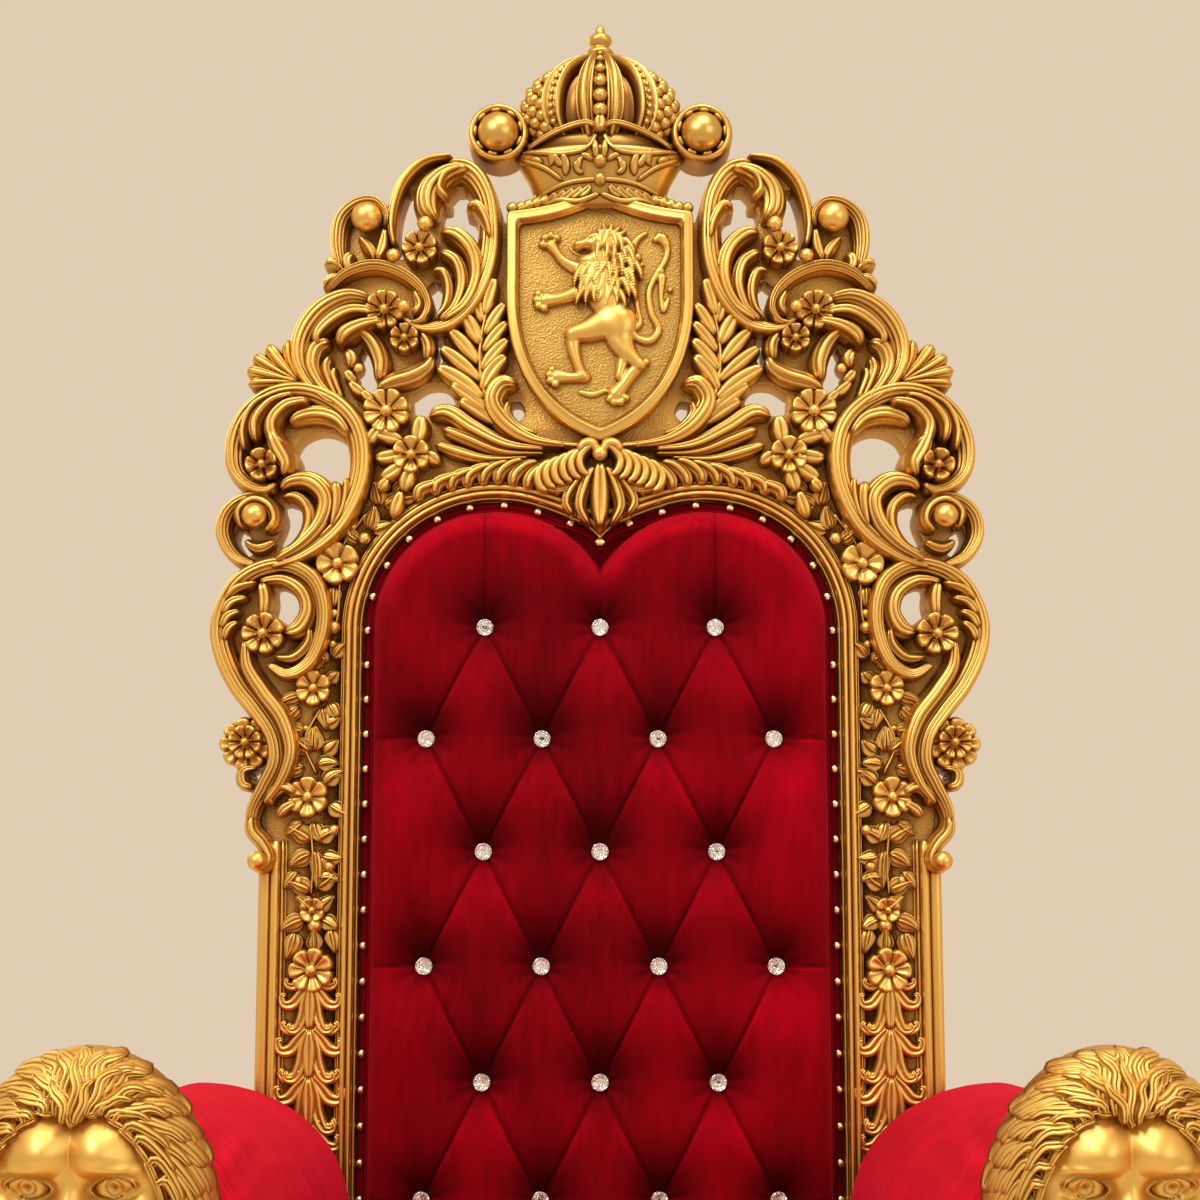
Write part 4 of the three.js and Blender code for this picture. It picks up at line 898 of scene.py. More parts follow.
def make_centre(leaves):
    """The knot over the arch: two gadrooned horns, a bow, and a bud with side leaves that hangs between the
    lobes."""
    for k in range(6):
        x = -14 - 9.5 * k
        z = 1432 - 3.4 * k
        leaves.frond(((x + 13, z + 15, 4), (x, z + 11, 7), (x - 9, z - 2, 8), (x - 5, z - 16, 7),
                      (x + 4, z - 22, 4)),
                     rise=36 - 1.8 * k, step=2.5)
    leaves.frond(((-1, 1434, 6), (-9, 1448, 9), (-20, 1446, 8), (-24, 1436, 5)), rise=38, step=2.5)
    leaves.frond(((-78, 1408, 3), (-52, 1396, 5), (-26, 1402, 5), (-12, 1414, 4)), rise=24, reeds=CLEFT)
    leaves.ball(0, 1436, 9, 32, pair=False)
    leaves.frond(((0, 1428, 7), (0, 1400, 13), (0, 1372, 12), (0, 1350, 4)), rise=38, reeds=CLEFT, pair=False)
    leaves.frond(((-6, 1424, 6), (-17, 1400, 10), (-22, 1376, 9), (-12, 1354, 4)), rise=34, reeds=THREE)
    leaves.frond(((-10, 1420, 5), (-29, 1402, 9), (-38, 1382, 8), (-30, 1366, 4)), rise=28, reeds=THREE)
    leaves.frond(((-14, 1418, 4), (-40, 1404, 7), (-52, 1390, 6)), rise=23, reeds=CLEFT)


def shield_outline(inset):
    """The shield's left edge from its tip to its peak: a quadratic curve, a straight side, a hollowed top."""
    t = np.linspace(0.0, 1.0, 40)[:, None]
    tip, waist = np.array([0, 1451 + inset * 1.3]), np.array([-107 + inset, 1640.0])
    pull = np.array([-112 + inset, 1495.0 + inset])
    bottom = (1 - t) ** 2 * tip + 2 * t * (1 - t) * pull + t ** 2 * waist
    shoulder, peak = np.array([-107 + inset, 1722 - inset]), np.array([0, 1750 - inset * 1.1])
    side = waist + (shoulder - waist) * t[1::3]
    top = shoulder + (peak - shoulder) * t[1:] - np.array([0, 5.0]) * np.sin(np.pi * t[1:])
    return np.vstack([bottom, side, top])


def make_shield(carving, field):
    """The shield: a flat-topped rim with crisp edges round a sunk field with a fine grain."""
    profile = ((0, WALL), (0, 24), (1.2, 27), (3.0, 27.5), (8.0, 26.5), (9.2, 28), (10.6, 27), (11.6, 20),
               (13.4, 19.4), (14.2, 15), (14.6, WALL))
    rings = np.stack([both_sides(shield_outline(inset)) for inset, _ in profile], axis=1)
    rise = np.broadcast_to([height for _, height in profile], rings.shape[:2])
    tones = np.array([0.1, 0.5, 1, 0.75, 0.75, 1, 0.9, 0.3, 0.6, 0.1, 0.1])
    carving.hoop(on_back(rings[..., 0], rise, rings[..., 1]), tones)
    steps = ((12.6, WALL), (12.6, 15), (16, 15), (30, 15.5), (55, 16))
    rings = np.stack([both_sides(shield_outline(inset)) for inset, _ in steps], axis=0)
    rise = np.broadcast_to(np.array([height for _, height in steps])[:, None], rings.shape[:2])
    field.skin(on_back(rings[..., 0], rise, rings[..., 1]), 0.50, pair=False)


def bones_relief(x, z, bones):
    """Height over the field of a figure made of bones, each a chain of x, z, radius with a rise: a bone's
    section is the half ellipse sqrt(1 - (d / r)^2), and bones melt together as the sixth root of their
    sixth powers' sum."""
    total = np.zeros(x.shape)
    for rise, chain in bones:
        height = np.zeros(x.shape)
        chain = spine(chain, 5.0) if len(chain) > 2 else chain
        for (x0, z0, r0), (x1, z1, r1) in zip(chain, chain[1:]):
            run = (x1 - x0) ** 2 + (z1 - z0) ** 2
            t = np.clip(((x - x0) * (x1 - x0) + (z - z0) * (z1 - z0)) / run, 0.0, 1.0)
            radius = r0 + (r1 - r0) * t
            off = np.hypot(x - x0 - t * (x1 - x0), z - z0 - t * (z1 - z0)) / radius
            height = np.maximum(height, rise * half_ellipse(off)
                                * np.minimum(1.0, radius / 6) ** 0.5)
        total += height ** 6
    return total ** (1 / 6)


def make_rearing_lion(carving):
    """The rearing lion in low relief: one skin of the figure's height, with the mane's locks laid like
    tiles on it."""
    STEP, LOW = 0.9, 14.0
    limbs = (
        # chest and loin
        (12, ((-4, 1664, 19), (-2, 1644, 21), (6, 1620, 18), (17, 1600, 15), (24, 1588, 17))),
        # raised foreleg
        (9, ((-8, 1648, 11), (-28, 1656, 7.5), (-42, 1664, 6), (-50, 1674, 5.5), (-56, 1683, 7))),
        # lower foreleg
        (9, ((-6, 1634, 12), (-26, 1627, 9), (-42, 1621, 7), (-56, 1618, 7.5), (-62, 1618, 8.5))),
        (12, ((22, 1592, 19), (6, 1590, 17), (-14, 1582, 13), (-31, 1578, 9.5))),  # forward thigh
        (9, ((-31, 1578, 9), (-30, 1560, 7.5), (-25, 1542, 6), (-20, 1529, 6.5))),
        (8, ((-17, 1528, 6.5), (-34, 1527, 6), (-48, 1528, 8))),
        (12, ((22, 1594, 18), (22, 1574, 15), (32, 1555, 10), (46, 1541, 7))),  # standing thigh
        (9, ((46, 1541, 6.5), (36, 1532, 7.5), (28, 1520, 7), (18, 1508, 9))),
        (8, ((22, 1528, 5), (26, 1545, 7), (30, 1556, 7))),
        (4, ((-35, 1681, 1.4), (-30, 1675, 2.0), (-22, 1672, 2.0), (-14, 1672, 2))),  # tongue
        (9, ((-2, 1670, 9), (-13, 1665, 5.5), (-21, 1665, 3.6))),  # jaw
        (12, ((8, 1686, 14), (-4, 1688, 11), (-12, 1686, 8), (-24, 1682, 6))),  # brow and muzzle
        (13, ((-25, 1685, 3.4), (-28, 1683, 3.2))), (13, ((-12, 1692, 3.4), (-6, 1694, 3.4))),
        (11, ((6, 1700, 4), (8, 1705, 2.6))),
        # tail
        (7, ((34, 1586, 4), (43, 1573, 4.4), (57, 1570, 4.6), (67, 1583, 4.4), (59, 1602, 4.2),
             (56, 1628, 3.8), (65, 1649, 3.8), (75, 1666, 3.8), (77, 1680, 4.2), (70, 1693, 6.5),
             (64, 1690, 4))),
        (7, ((38, 1583, 3.2), (46, 1590, 3.2), (43, 1609, 3.2), (40, 1630, 3.8), (39, 1645, 5.5))),
        (7, ((36, 1679, 6), (42, 1690, 4), (53, 1698, 2.4))),
        (6, ((71, 1645, 5), (70, 1621, 3), (73, 1606, 3.6), (78, 1619, 2.4))),
        (5, ((-22, 1510, 3), (-10, 1507, 3.6), (6, 1512, 3))),
    )
    balls = ((77, 1684, 4), (41, 1652, 5), (35, 1661, 4), (43, 1669, 5), (35, 1678, 5), (31, 1617, 4),
             (80, 1630, 3.6), (70, 1652, 4), (48, 1660, 3))
    toes = ((-66, 1684), (-64, 1692), (-57, 1695), (-50, 1692), (-71, 1625), (-73, 1618), (-71, 1611),
            (-64, 1608), (-55, 1536), (-58, 1530), (-57, 1523), (-51, 1519), (11, 1502), (16, 1498),
            (23, 1498), (29, 1503), (52, 1545))
    limbs = tuple((rise * 1.06, tuple((bx, bz, r * 1.13) for bx, bz, r in chain)) for rise, chain in limbs)
    bones = limbs + tuple((8, ((bx, bz, r), (bx + 0.5, bz, r))) for bx, bz, r in balls)
    bones += tuple((9, ((tx, tz, 5.2), (tx + 0.5, tz, 5.2))) for tx, tz in toes)
    x, z = np.meshgrid(np.arange(-84.0, 92.0, STEP), np.arange(1486.0, 1712.0, STEP))
    height = bones_relief(x, z, bones)
    # the mane: rows of pointed locks from the chest up to the crown, each row over the one below it
    rows = ((1634, 20, 22, 7), (1646, 25, 24, 8), (1659, 27, 26, 8), (1672, 27, 26, 8), (1685, 24, 24, 7),
            (1697, 17, 20, 6))
    for row, (at, spread, length, count) in enumerate(rows):
        for k in range(count):
            side = (k + 0.5 * (row % 2)) / (count - 1) * 2 - 0.85
            root_x, root_z = 6 + spread * side - 1.4 * (5 - row), at - 5 * side * side
            if root_z > 1662 and side < -0.30:
                continue
            turn = np.radians(262 + 34 * side + 7 * np.sin(3.1 * k + row))
            for share in np.linspace(0.0, 1.0, 9):
                bow = turn - 0.35 * (share - 0.4) * np.sign(side + 0.01)
                cx, cz = root_x + length * share * np.cos(bow), root_z + length * share * np.sin(bow)
                radius = 5.0 * (1 - share ** 2.6) + 0.5
                off = np.hypot(x - cx, z - cz) / radius
                lock = (13.0 + 2.6 * share) * np.clip(1 - off ** 2, 0.0, 1.0) ** 0.40
                height = np.maximum(height, lock)
    for turn, size in ((150, 12), (125, 15), (100, 16), (75, 16), (50, 16), (25, 16)):
        angle = np.radians(turn)
        for share in np.linspace(0.0, 1.0, 7):
            off = np.hypot(x - 8 - (9 + size * share) * np.cos(angle),
                           z - 1690 - (5 + 0.8 * size * share) * np.sin(angle))
            radius = 4.4 * (1 - share ** 2) + 0.5
            lock = (12 + 2 * share) * np.clip(1 - (off / radius) ** 2, 0.0, 1.0) ** 0.35
            height = np.where(x < -2, height, np.maximum(height, lock))
    for ex, ez, radius, cut in ((-11, 1688, 2.2, 3.0), (-13, 1675.5, 3.6, 6.0), (-18, 1675, 3.2, 6.0),
                                (-25, 1680, 1.2, 2.0)):
        height -= cut * np.exp(-((x - ex) ** 2 + (z - ez) ** 2) / radius ** 2) * (height > 0)
    height += 1.6 * np.exp(-((x + 11) ** 2 + (z - 1688) ** 2) / 1.1 ** 2)
    smooth = height
    for _ in range(3):
        smooth = sum(np.roll(smooth, (i, j), (0, 1)) for i in (-2, 0, 2) for j in (-2, 0, 2)) / 9
    tone = np.clip(0.62 + 0.17 * (height - smooth), 0.0, 1.0)
    solid = height > 0.4
    grown = sum(np.roll(solid, (i, j), (0, 1)) for i in (-1, 0, 1) for j in (-1, 0, 1)) > 0
    rise = np.where(solid, LOW + 1.2 + height, LOW - 3)
    quads, at = grid_faces(*x.shape)
    quads = quads[grown.ravel()[quads].all(axis=1)]
    used = np.unique(quads)
    renumber = np.zeros(at.size, int)
    renumber[used] = np.arange(len(used))
    carving.add(on_back(x, rise, z).reshape(-1, 3)[used], tone.ravel()[used], renumber[quads])


# ---- the crown -----------------------------------------------------------------------------------
CROWN_Y = float(lean(np.array(1824.0))) + 4.0  # the crown's axis
DOME = (
    (0.0, 70, 1808), (0.10, 80, 1818), (0.25, 91, 1836), (0.42, 92, 1856), (0.58, 84, 1876),
    (0.74, 66, 1894), (0.88, 40, 1906), (0.96, 20, 1911), (1.0, 11, 1913),
)
DOME_LINE = spine([(half, z, share) for share, half, z in DOME], 2.0)


def crown_depth(half):
    """The crown is oval: its half-depth where it is `half` wide."""
    return half * 0.44 + 6.0


def on_dome(turn, out, up):
    """A place on the crown's dome: the turn round it in radians from the front, the height out of it, 0 to
    1 up it."""
    half, z, share = DOME_LINE.T
    tilt = np.clip(up, 0, 1) * 1.3
    wide = np.interp(up, share, half)
    deep = np.minimum(crown_depth(wide) + out * np.cos(tilt), wide + out * np.cos(tilt))
    wide = wide + out * np.cos(tilt)
    z = np.interp(up, share, z) + out * np.sin(tilt)
    parts = np.broadcast_arrays(wide * np.sin(turn), CROWN_Y - deep * np.cos(turn), z)
    return np.stack(parts, axis=-1) * MM


def on_band(x, rise, z):
    """A place on the front of the crown's flared band, `rise` out of its surface."""
    half = np.interp(z, (1735, 1746, 1776, 1792, 1797, 1814), (74, 76, 90, 98, 92, 84))
    side = np.sqrt(np.clip(1 - (x / half) ** 2, 0.02, 1.0))
    return np.stack(np.broadcast_arrays(x, CROWN_Y - crown_depth(half) * side - rise, z), axis=-1) * MM


def make_crown(carving):
    """A flared band with a diadem, a dome of pearled arches, and the ball on top."""
    turn = once_round(96)
    levels = ((1728, 72, 0.3), (1742, 73, 0.4), (1746, 76, 0.8), (1762, 82, 0.6), (1776, 90, 0.6),
              (1786, 96, 0.7), (1792, 98, 1.0), (1796, 96, 0.9), (1797, 90, 0.2), (1808, 84, 0.4),
              (1814, 80, 0.4))
    z, half, tone = (np.array(column, float)[:, None] for column in zip(*levels))
    ring = [half * np.sin(turn) + 0 * z, CROWN_Y - crown_depth(half) * np.cos(turn), z + 0 * turn]
    carving.skin(np.stack(ring, axis=-1) * MM, tone, pair=False)
    up = np.linspace(0.0, 1.0, 44)[:, None]
    # the dome is sunk between the front arch and the pearled ribs beside it
    sunk = np.exp(-((np.arcsin(np.abs(np.sin(turn))) - 0.43) / 0.14) ** 4)
    carving.skin(on_dome(turn, -6.0 - 10.0 * sunk + 0 * up, up), 0.35 - 0.33 * sunk + 0 * up, pair=False)

    def arch(middle, spread, reeds, height, groove):
        """A reeded band up the dome."""
        v, body, dip, tone = section(reeds, 6)
        out = np.concatenate([[-14.0], height * body - dip * groove, [-14.0]])
        v = np.concatenate([v[:1], v, v[-1:]])
        tone = np.concatenate([[0.1], tone, [0.1]])
        wide = spread * (0.62 + 0.38 * np.sin(np.pi * np.clip(0.2 + up * 0.7, 0, 1)))
        carving.skin(on_dome(middle + wide * v, out + 0 * up, up), tone + 0 * up, pair=False)

    for half_turn in (0.0, np.pi):
        arch(half_turn, 0.32, ((0.7, 0.7), (1.7, 1), (0.8, 0.5), (2.0, 0.35), (0.8, 0.5), (1.7, 1),
                               (0.7, 0.7)), 10.0, 42.0)
        for j, radius in enumerate((8.0, 7.8, 7.5, 6.6, 5.2, 4.0, 3.0)):
            pearl(carving, on_dome(half_turn, 4.5, 0.10 + 0.135 * j), radius * 1.12)
        for side in (-1, 1):
            arch(half_turn + side * 0.66, 0.15, ((1.0, 1), (2.2, 0.2), (1.0, 1)), 6.0, 16.0)
            for j in range(13):
                pearl(carving, on_dome(half_turn + side * 0.66, 1.0, 0.03 + 0.072 * j), 4.0 - 0.12 * j)
            for column, at in enumerate((0.88, 1.07, 1.27, 1.47)):
                for j in range(8):
                    size = 9.6 - 0.55 * j + 0.5 * np.sin(2.3 * j + 1.7 * column)
                    at_up = 0.04 + 0.118 * j + 0.055 * (column % 2)
                    pearl(carving, on_dome(half_turn + side * at, -5.5, min(at_up, 0.96)), size)
    # brim: two low arches that meet at a lozenge, a diadem of leaves under it, and the foot band
    edge = dict(back=-4.0, place=on_band)
    carving.frond(((-84, 1798, 3), (-70, 1806, 4), (-46, 1816, 4), (-14, 1822, 4), (-2, 1815, 3)), rise=9.0,
                  reeds=CLEFT, **edge)
    carving.frond(((-93, 1797, 3), (-66, 1789, 3), (-37, 1786, 3), (-16, 1791, 3), (-3, 1810, 3)), rise=6.0,
                  **edge)
    carving.frond(((-95, 1788, 3), (-66, 1774, 3), (-43, 1757, 2.5)), rise=5.0, **edge)
    carving.frond(((-72, 1744, 3), (-37, 1754, 3), (0, 1757, 3)), rise=5.0, **edge)
    carving.leaf(0, 1809, 22, 9, 90, 0, rise=15.0, back=-6.0, place=on_band, pair=False)
    for x, z, length, half, way, bend in (
        (-3, 1778, 25, 5, 105, -25), (-8, 1776, 18, 4, 130, 60), (-18, 1780, 18, 4, 190, 130),
        (-18, 1764, 20, 4, 170, -120), (-40, 1762, 26, 6, 80, 50), (-42, 1772, 20, 5, 140, -40),
        (-58, 1774, 20, 5, 60, 100), (-66, 1778, 18, 4, 140, 40), (-28, 1766, 16, 4, 60, 30)):
        carving.leaf(x, z, length, half, way, bend, rise=6.0, back=-4.0, place=on_band, reeds=PLAIN)
    for z, radius, rise in ((1776, 7.5, 3), (1756, 7.5, 3)):
        carving.ball(0, z, radius, rise, place=on_band, pair=False)
    for k in range(6):
        carving.leaf(-10 - 10 * k, 1751 - 1.3 * k, 20, 5.5, 232, -30, rise=5.0, reeds=CLEFT, **edge)
    carving.frond(((0, 1741, 3), (-25, 1733, 3.5), (-48, 1736, 3.5), (-68, 1732, 3)), rise=6.0, **edge)
    carving.ball(-101, 1729, 7, 14)
    for k in range(4):
        carving.ball(-91 + 9 * k, 1731 + 2.5 * k, 6.5, 12, squash=0.8)
    carving.frond(((-98, 1726, 5), (-84, 1731, 8), (-66, 1738, 9), (-48, 1741, 7)), rise=17, reeds=THREE,
                  back=0.0, step=2.5)
    # finial
    profile = ((1912, 10), (1916, 15), (1920, 16.5), (1924, 14), (1926.5, 9), (1928.5, 10), (1932, 13),
               (1935.5, 14), (1939, 13), (1942.5, 9), (1944.5, 5.5), (1947, 6), (1950, 5), (1953, 2.5),
               (1955, 0.8))
    z, half = (np.array(column)[:, None] for column in zip(*profile))
    ring = turn[::2]
    carving.skin(np.stack([half * np.sin(ring), CROWN_Y - half * np.cos(ring), z + 0 * ring], axis=-1) * MM,
                 0.8, pair=False)
    # ringed balls beside the crown
    x, z, LEAVES, LEAF_RING = -118, 1820, 9, 26.5
    carving.ball(x, z, 24, 14, around=36)
    carving.disc(x, z, 36, 14.0, hollow=6.0, rim=5.0)
    for k in range(LEAVES):
        turn_at = 2 * np.pi * k / LEAVES
        carving.leaf(x + LEAF_RING * np.cos(turn_at), z + LEAF_RING * np.sin(turn_at), 15, 4,
                     np.degrees(turn_at) + 90, 40, rise=20.0, reeds=PLAIN, back=4.0)


def pearl(carving, centre, radius):
    """A small ball anywhere."""
    polar = np.linspace(0.1, np.pi - 0.1, 7)[:, None]
    turn = once_round(12)
    ball = np.stack(np.broadcast_arrays(np.sin(polar) * np.cos(turn), -np.cos(polar),
                                        np.sin(polar) * np.sin(turn)), axis=-1)
    carving.skin(centre + radius * MM * ball, np.clip(0.75 + 0.4 * np.cos(polar), 0, 1), pair=False)


# ---- upholstery ----------------------------------------------------------------------------------
PITCH_X, PITCH_Z, TOP_ROW, ROWS = 128.5, 125.0, 1238.0, 6
WELT = 13.0  # width of the nailed strip inside the moulding
PAD_FOOT = 432.0


def buttons():
    """Rows of three and four buttons in turn, from the top down."""
    places = []
    for row in range(ROWS):
        count = 4 if row % 2 else 3
        places += [((k - (count - 1) / 2) * PITCH_X, TOP_ROW - row * PITCH_Z) for k in range(count)]
    return np.array(places)


def tufting(x, z, depth):
    """Height and tone of the tufted velvet, over its lowest level; the tone is painted shade, darker near the
    buttons, along the seams and in the pocket over each button.

    Distances r to each button and d to the seams shape it: the pull is the product of 1 - exp(-(r /
    REACH)^1.2) over the buttons, the broad fold is |sin(pi s) sin(pi t)| over the lattice whose lines
    join them, and each seam is a narrow dent. Above the top row the seams run straight up; outside the
    outer buttons they run straight aside.
    """
    REACH, SHADE_REACH, PLEAT_REACH, SEAM_DEPTH = 33, 42, 30, 2.0
    q = (TOP_ROW - z) / (2 * PITCH_Z)
    s, t = x / PITCH_X + q, x / PITCH_X - q
    slope = np.hypot(1 / PITCH_X, 1 / (2 * PITCH_Z))
    fold = np.abs(np.sin(np.pi * s) * np.sin(np.pi * t))
    seam = np.minimum(np.abs(s - np.round(s)), np.abs(t - np.round(t))) / slope
    above, outside = z > TOP_ROW, (np.abs(x) > 1.5 * PITCH_X)
    upright = np.abs(x / PITCH_X - np.round(x / PITCH_X)) * PITCH_X
    fold = np.where(above, np.sin(np.pi * x / PITCH_X) ** 2, fold)
    seam = np.where(above, upright, seam)
    level = np.abs(q - 0.5 - np.round(q - 0.5)) * 2 * PITCH_Z
    fold = np.where(outside, np.where(above, 1.0, np.cos(np.pi * q) ** 2), fold)
    seam = np.where(outside, np.where(above, 99.0, level), seam)
    pull, under, pleat = np.ones(x.shape), np.zeros(x.shape), np.zeros(x.shape)
    for bx, bz in buttons():
        away = np.hypot(x - bx, z - bz)
        ray = np.arctan2(z - bz, x - bx)
        pull = pull * (1 - np.exp(-(away / REACH) ** 1.2))
        # the pocket over each button lies in shade, a little to its right
        under += np.clip(np.sin(ray + 0.15), 0, 1) ** 1.3 * np.exp(-(away / SHADE_REACH) ** 2)
        pleat += np.cos(9 * ray + 1.2) * np.exp(-(away / PLEAT_REACH) ** 2) * np.clip(away / 12, 0, 1)
    height = depth * (0.72 * pull + 0.28 * fold ** 0.42 * (0.25 + 0.75 * pull))
    height -= SEAM_DEPTH * np.exp(-(seam / 1.7) ** 2) * (0.4 + 0.6 * pull)
    height += 0.9 * pleat
    # painted shade: the tone is darker near each button, in the seams and in the pocket over each button
    in_seam, pocket_shade = np.exp(-(seam / 1.3) ** 2), np.clip(under, 0, 1)
    tone = np.clip(0.05 + 1.05 * pull, 0, 1) * (1 - 0.50 * in_seam) * (1 - 0.45 * pocket_shade)
    return height, tone


def arch_top(x, inset):
    """Height of the opening's upper edge, drawn in by an inset, over a place across it."""
    top = SPRING + np.sqrt(np.maximum((RADIUS - inset) ** 2 - (np.abs(x) - LOBE) ** 2, 0.0))
    return top + arch_fill(x, -inset)


def make_back_pad(depth):
    """The tufted pad. Its grid is stretched to the arch; its edge rolls off over the last 30 mm; its tone
    holds painted light, lighter where the velvet faces up and darker where it faces down, and painted shade
    where the edge rolls off."""
    COLUMNS, ROWS_UP, ROLL, LOW, BEHIND = 230, 350, 30.0, 20.0, -26.0
    turn = np.linspace(-np.pi / 2, np.pi / 2, COLUMNS)
    spread = 0.72 * np.linspace(-1, 1, COLUMNS) + 0.28 * np.sin(turn)
    x = ((SIDE - WELT) * spread)[None, :]
    share = np.linspace(0.0, 1.0, ROWS_UP)[:, None]
    z = PAD_FOOT + (arch_top(x, WELT) - PAD_FOOT) * share
    x = x + 0 * z
    height, tone = tufting(x, z, depth)
    from_edge = RADIUS - WELT - np.hypot(np.abs(x) - LOBE, np.maximum(0.0, z - SPRING))
    from_edge = np.minimum(from_edge, z - PAD_FOOT)
    bulge = half_ellipse(1 - np.clip(from_edge / ROLL, 0, 1))
    rise = 2.0 + (LOW + height - 2.0) * bulge
    rise += 0.5 * np.sin(x / 17.0 + 2.1 * np.sin(z / 61.0)) * bulge
    # painted light and shade: the tone is lighter where the velvet faces up, darker where it faces down and
    # at the edge
    facing_up_painted_light = -np.gradient(rise, axis=0) / np.gradient(z, axis=0)
    tone = np.clip(tone * (0.30 + 0.70 * bulge) * (0.66 + 0.75 * np.clip(facing_up_painted_light, -0.7, 0.7)), 0, 1)
    pad = Carving()
    front = on_back(x, rise, z)
    quads, at = grid_faces(ROWS_UP, COLUMNS)
    count = at.size
    border = np.concatenate([at[0, :], at[1:, -1], at[-1, -2::-1], at[-2:0:-1, 0]])
    edge = np.stack([x.ravel()[border], z.ravel()[border]], axis=1)
    behind = on_back(edge[:, 0], np.full(len(edge), BEHIND), edge[:, 1])
    middle = on_back(np.array([0.0]), np.array([BEHIND]), np.array([900.0]))
    k = np.arange(len(border))
    after = (k + 1) % len(border)
    sides = np.stack([border, count + k, count + after, border[after]], axis=1)
    fans = np.stack([count + k, np.full(len(k), count + len(k)), count + after], axis=1)
    tones = np.concatenate([tone.ravel(), np.full(len(border) + 1, 0.1)])
    pad.keep(np.vstack([front.reshape(-1, 3), behind, middle]), tones, np.vstack([quads, sides]), fans, False)
    return pad


def make_welt(strip):
    """The nailed strip of velvet between moulding and pad, with a piped edge."""
    pipe = np.linspace(0.0, np.pi, 9)
    profile = [(-1.9, -20), (-1.9, 2.0), (-7.0, 3.0), (-9.5, 2.0)]
    profile += [(-11.9 + 1.9 * np.cos(a), 2.0 + 3.4 * np.sin(a)) for a in pipe] + [(-14.0, -20)]
    # painted shade and highlight: the tone is low at the strip's edges and beside the pipe, highest on the
    # pipe's crest
    tones = np.concatenate([[0.05, 0.3, 0.45, 0.15], 0.10 + 0.5 * np.sin(pipe), [0.05]])
    sweep_edge(strip, profile, 512.0, tones)


def make_nails(carving, pitch, radius):
    """Domed nails at even steps along the strip."""
    x, z = arch_edge(-5.6, 532.0, 400)
    run = sums(np.hypot(np.diff(x), np.diff(z)))
    for at in np.linspace(0.0, run[-1] - 3.0, int(round(run[-1] / pitch))):
        carving.ball(np.interp(at, run, x), np.interp(at, run, z), radius, 5.0, around=12, squash=0.75)


def make_crystals(glass, silver, radius):
    """Round brilliants: a table, twelve main facets, a girdle and a point, on a dished silver foil."""
    SIDES, LOW = 12, 22.0
    half_turn = np.pi / SIDES
    levels = ((0.0, 0.35, 0), (0.62, 0.98, 1), (0.70, 1.0, 1), (0.98, 0.74, 0), (1.12, 0.50, 1))
    for x, z in buttons():
        rings = []
        for height, share, shift in levels:
            turn = once_round(SIDES) + shift * half_turn
            rings.append(on_back(x + share * radius * np.cos(turn), LOW + 1.0 + height * radius + 0 * turn,
                                 z + share * radius * np.sin(turn)))
        glass.skin(np.stack(rings), 1.0, pair=False)
        turn = once_round(24)
        dish = ((0.1, -2.0), (0.80, 3.6), (1.02, 4.6), (1.08, 4.4), (1.08, -4.0))
        rings = [on_back(x + share * radius * np.cos(turn), LOW + rise + 0 * turn,
                         z + share * radius * np.sin(turn))
                 for share, rise in dish]
        silver.skin(np.stack(rings), 1.0, pair=False)


def make_arm(pad):
    """A padded arm: a fat roll over an upright side, gathered behind the lion's head.

    Round each ring the roll is half an ellipse from the inner side, over its peak, to the outer side.
    Gathers are waves round the roll that fade backwards."""
    INNER, OUTER, CREST, SPRING_Z, FOOT = 268.0, 512.0, 430.0, 603.0, 400.5
    y = np.concatenate([np.linspace(-311, -290, 10), np.linspace(-284, 240, 90),
                        np.linspace(246, 268, 8)])[:, None]
    top = np.interp(y, (-311, -290, -250, -40, 230, 270), (796, 800, 797, 768, 742, 740))
    turn = np.linspace(0.0, np.pi, 120)
    wide = np.where(np.cos(turn) > 0, CREST - INNER, OUTER - CREST)
    shrink = 1 - 0.10 * np.exp(-((y + 311) / 14.0)) - 0.04 * np.exp((y - 268) / 8.0)
    fade = np.exp(-(y + 311) / 190.0)
    waves = 1.5 * np.sin(turn * 34 + 1.5 * np.sin(y / 60)) + 1.1 * np.sin(turn * 21 - y / 47)
    gather = waves * fade * np.sin(turn) ** 0.3
    sag = 2.5 * np.sin((y + 30) / 95.0) * np.sin(turn) ** 2
    roll_x = -CREST + (wide + gather) * np.cos(turn) * shrink
    roll_z = SPRING_Z + (top - SPRING_Z + gather - sag) * np.sin(turn) * shrink
    inner_z = np.linspace(FOOT, SPRING_Z, 16, endpoint=False)
    outer_z = np.linspace(SPRING_Z, FOOT, 17)[1:]
    belly = 3.5 * np.sin(np.pi * (inner_z - FOOT) / (SPRING_Z - FOOT))
    inner_x = -CREST + (CREST - INNER) * shrink + 0 * inner_z - belly + 0 * y
    outward = np.interp(outer_z, (FOOT, 520, SPRING_Z), (488, 490, 512))
    outer_x = -CREST - (outward - CREST) * shrink
    x = np.concatenate([inner_x, roll_x, outer_x], axis=1)
    z = np.concatenate([inner_z + 0 * y, roll_z, outer_z + 0 * y], axis=1)
    follow = np.where(y > 200, RAKE * np.maximum(0, z - RAKE_FROM) * (y - 200) / 68, 0.0)
    y = y + follow
    # painted shade: the tone is lower in the gathers' valleys and higher on their ridges
    tone = np.clip(0.85 + gather * 0.10, 0, 1)
    tones = np.concatenate([np.full(inner_x.shape, 0.8), tone, np.full(outer_x.shape, 0.8)], axis=1)
    pad.skin(np.stack([x, y, z], axis=-1) * MM, tones, pair=False)


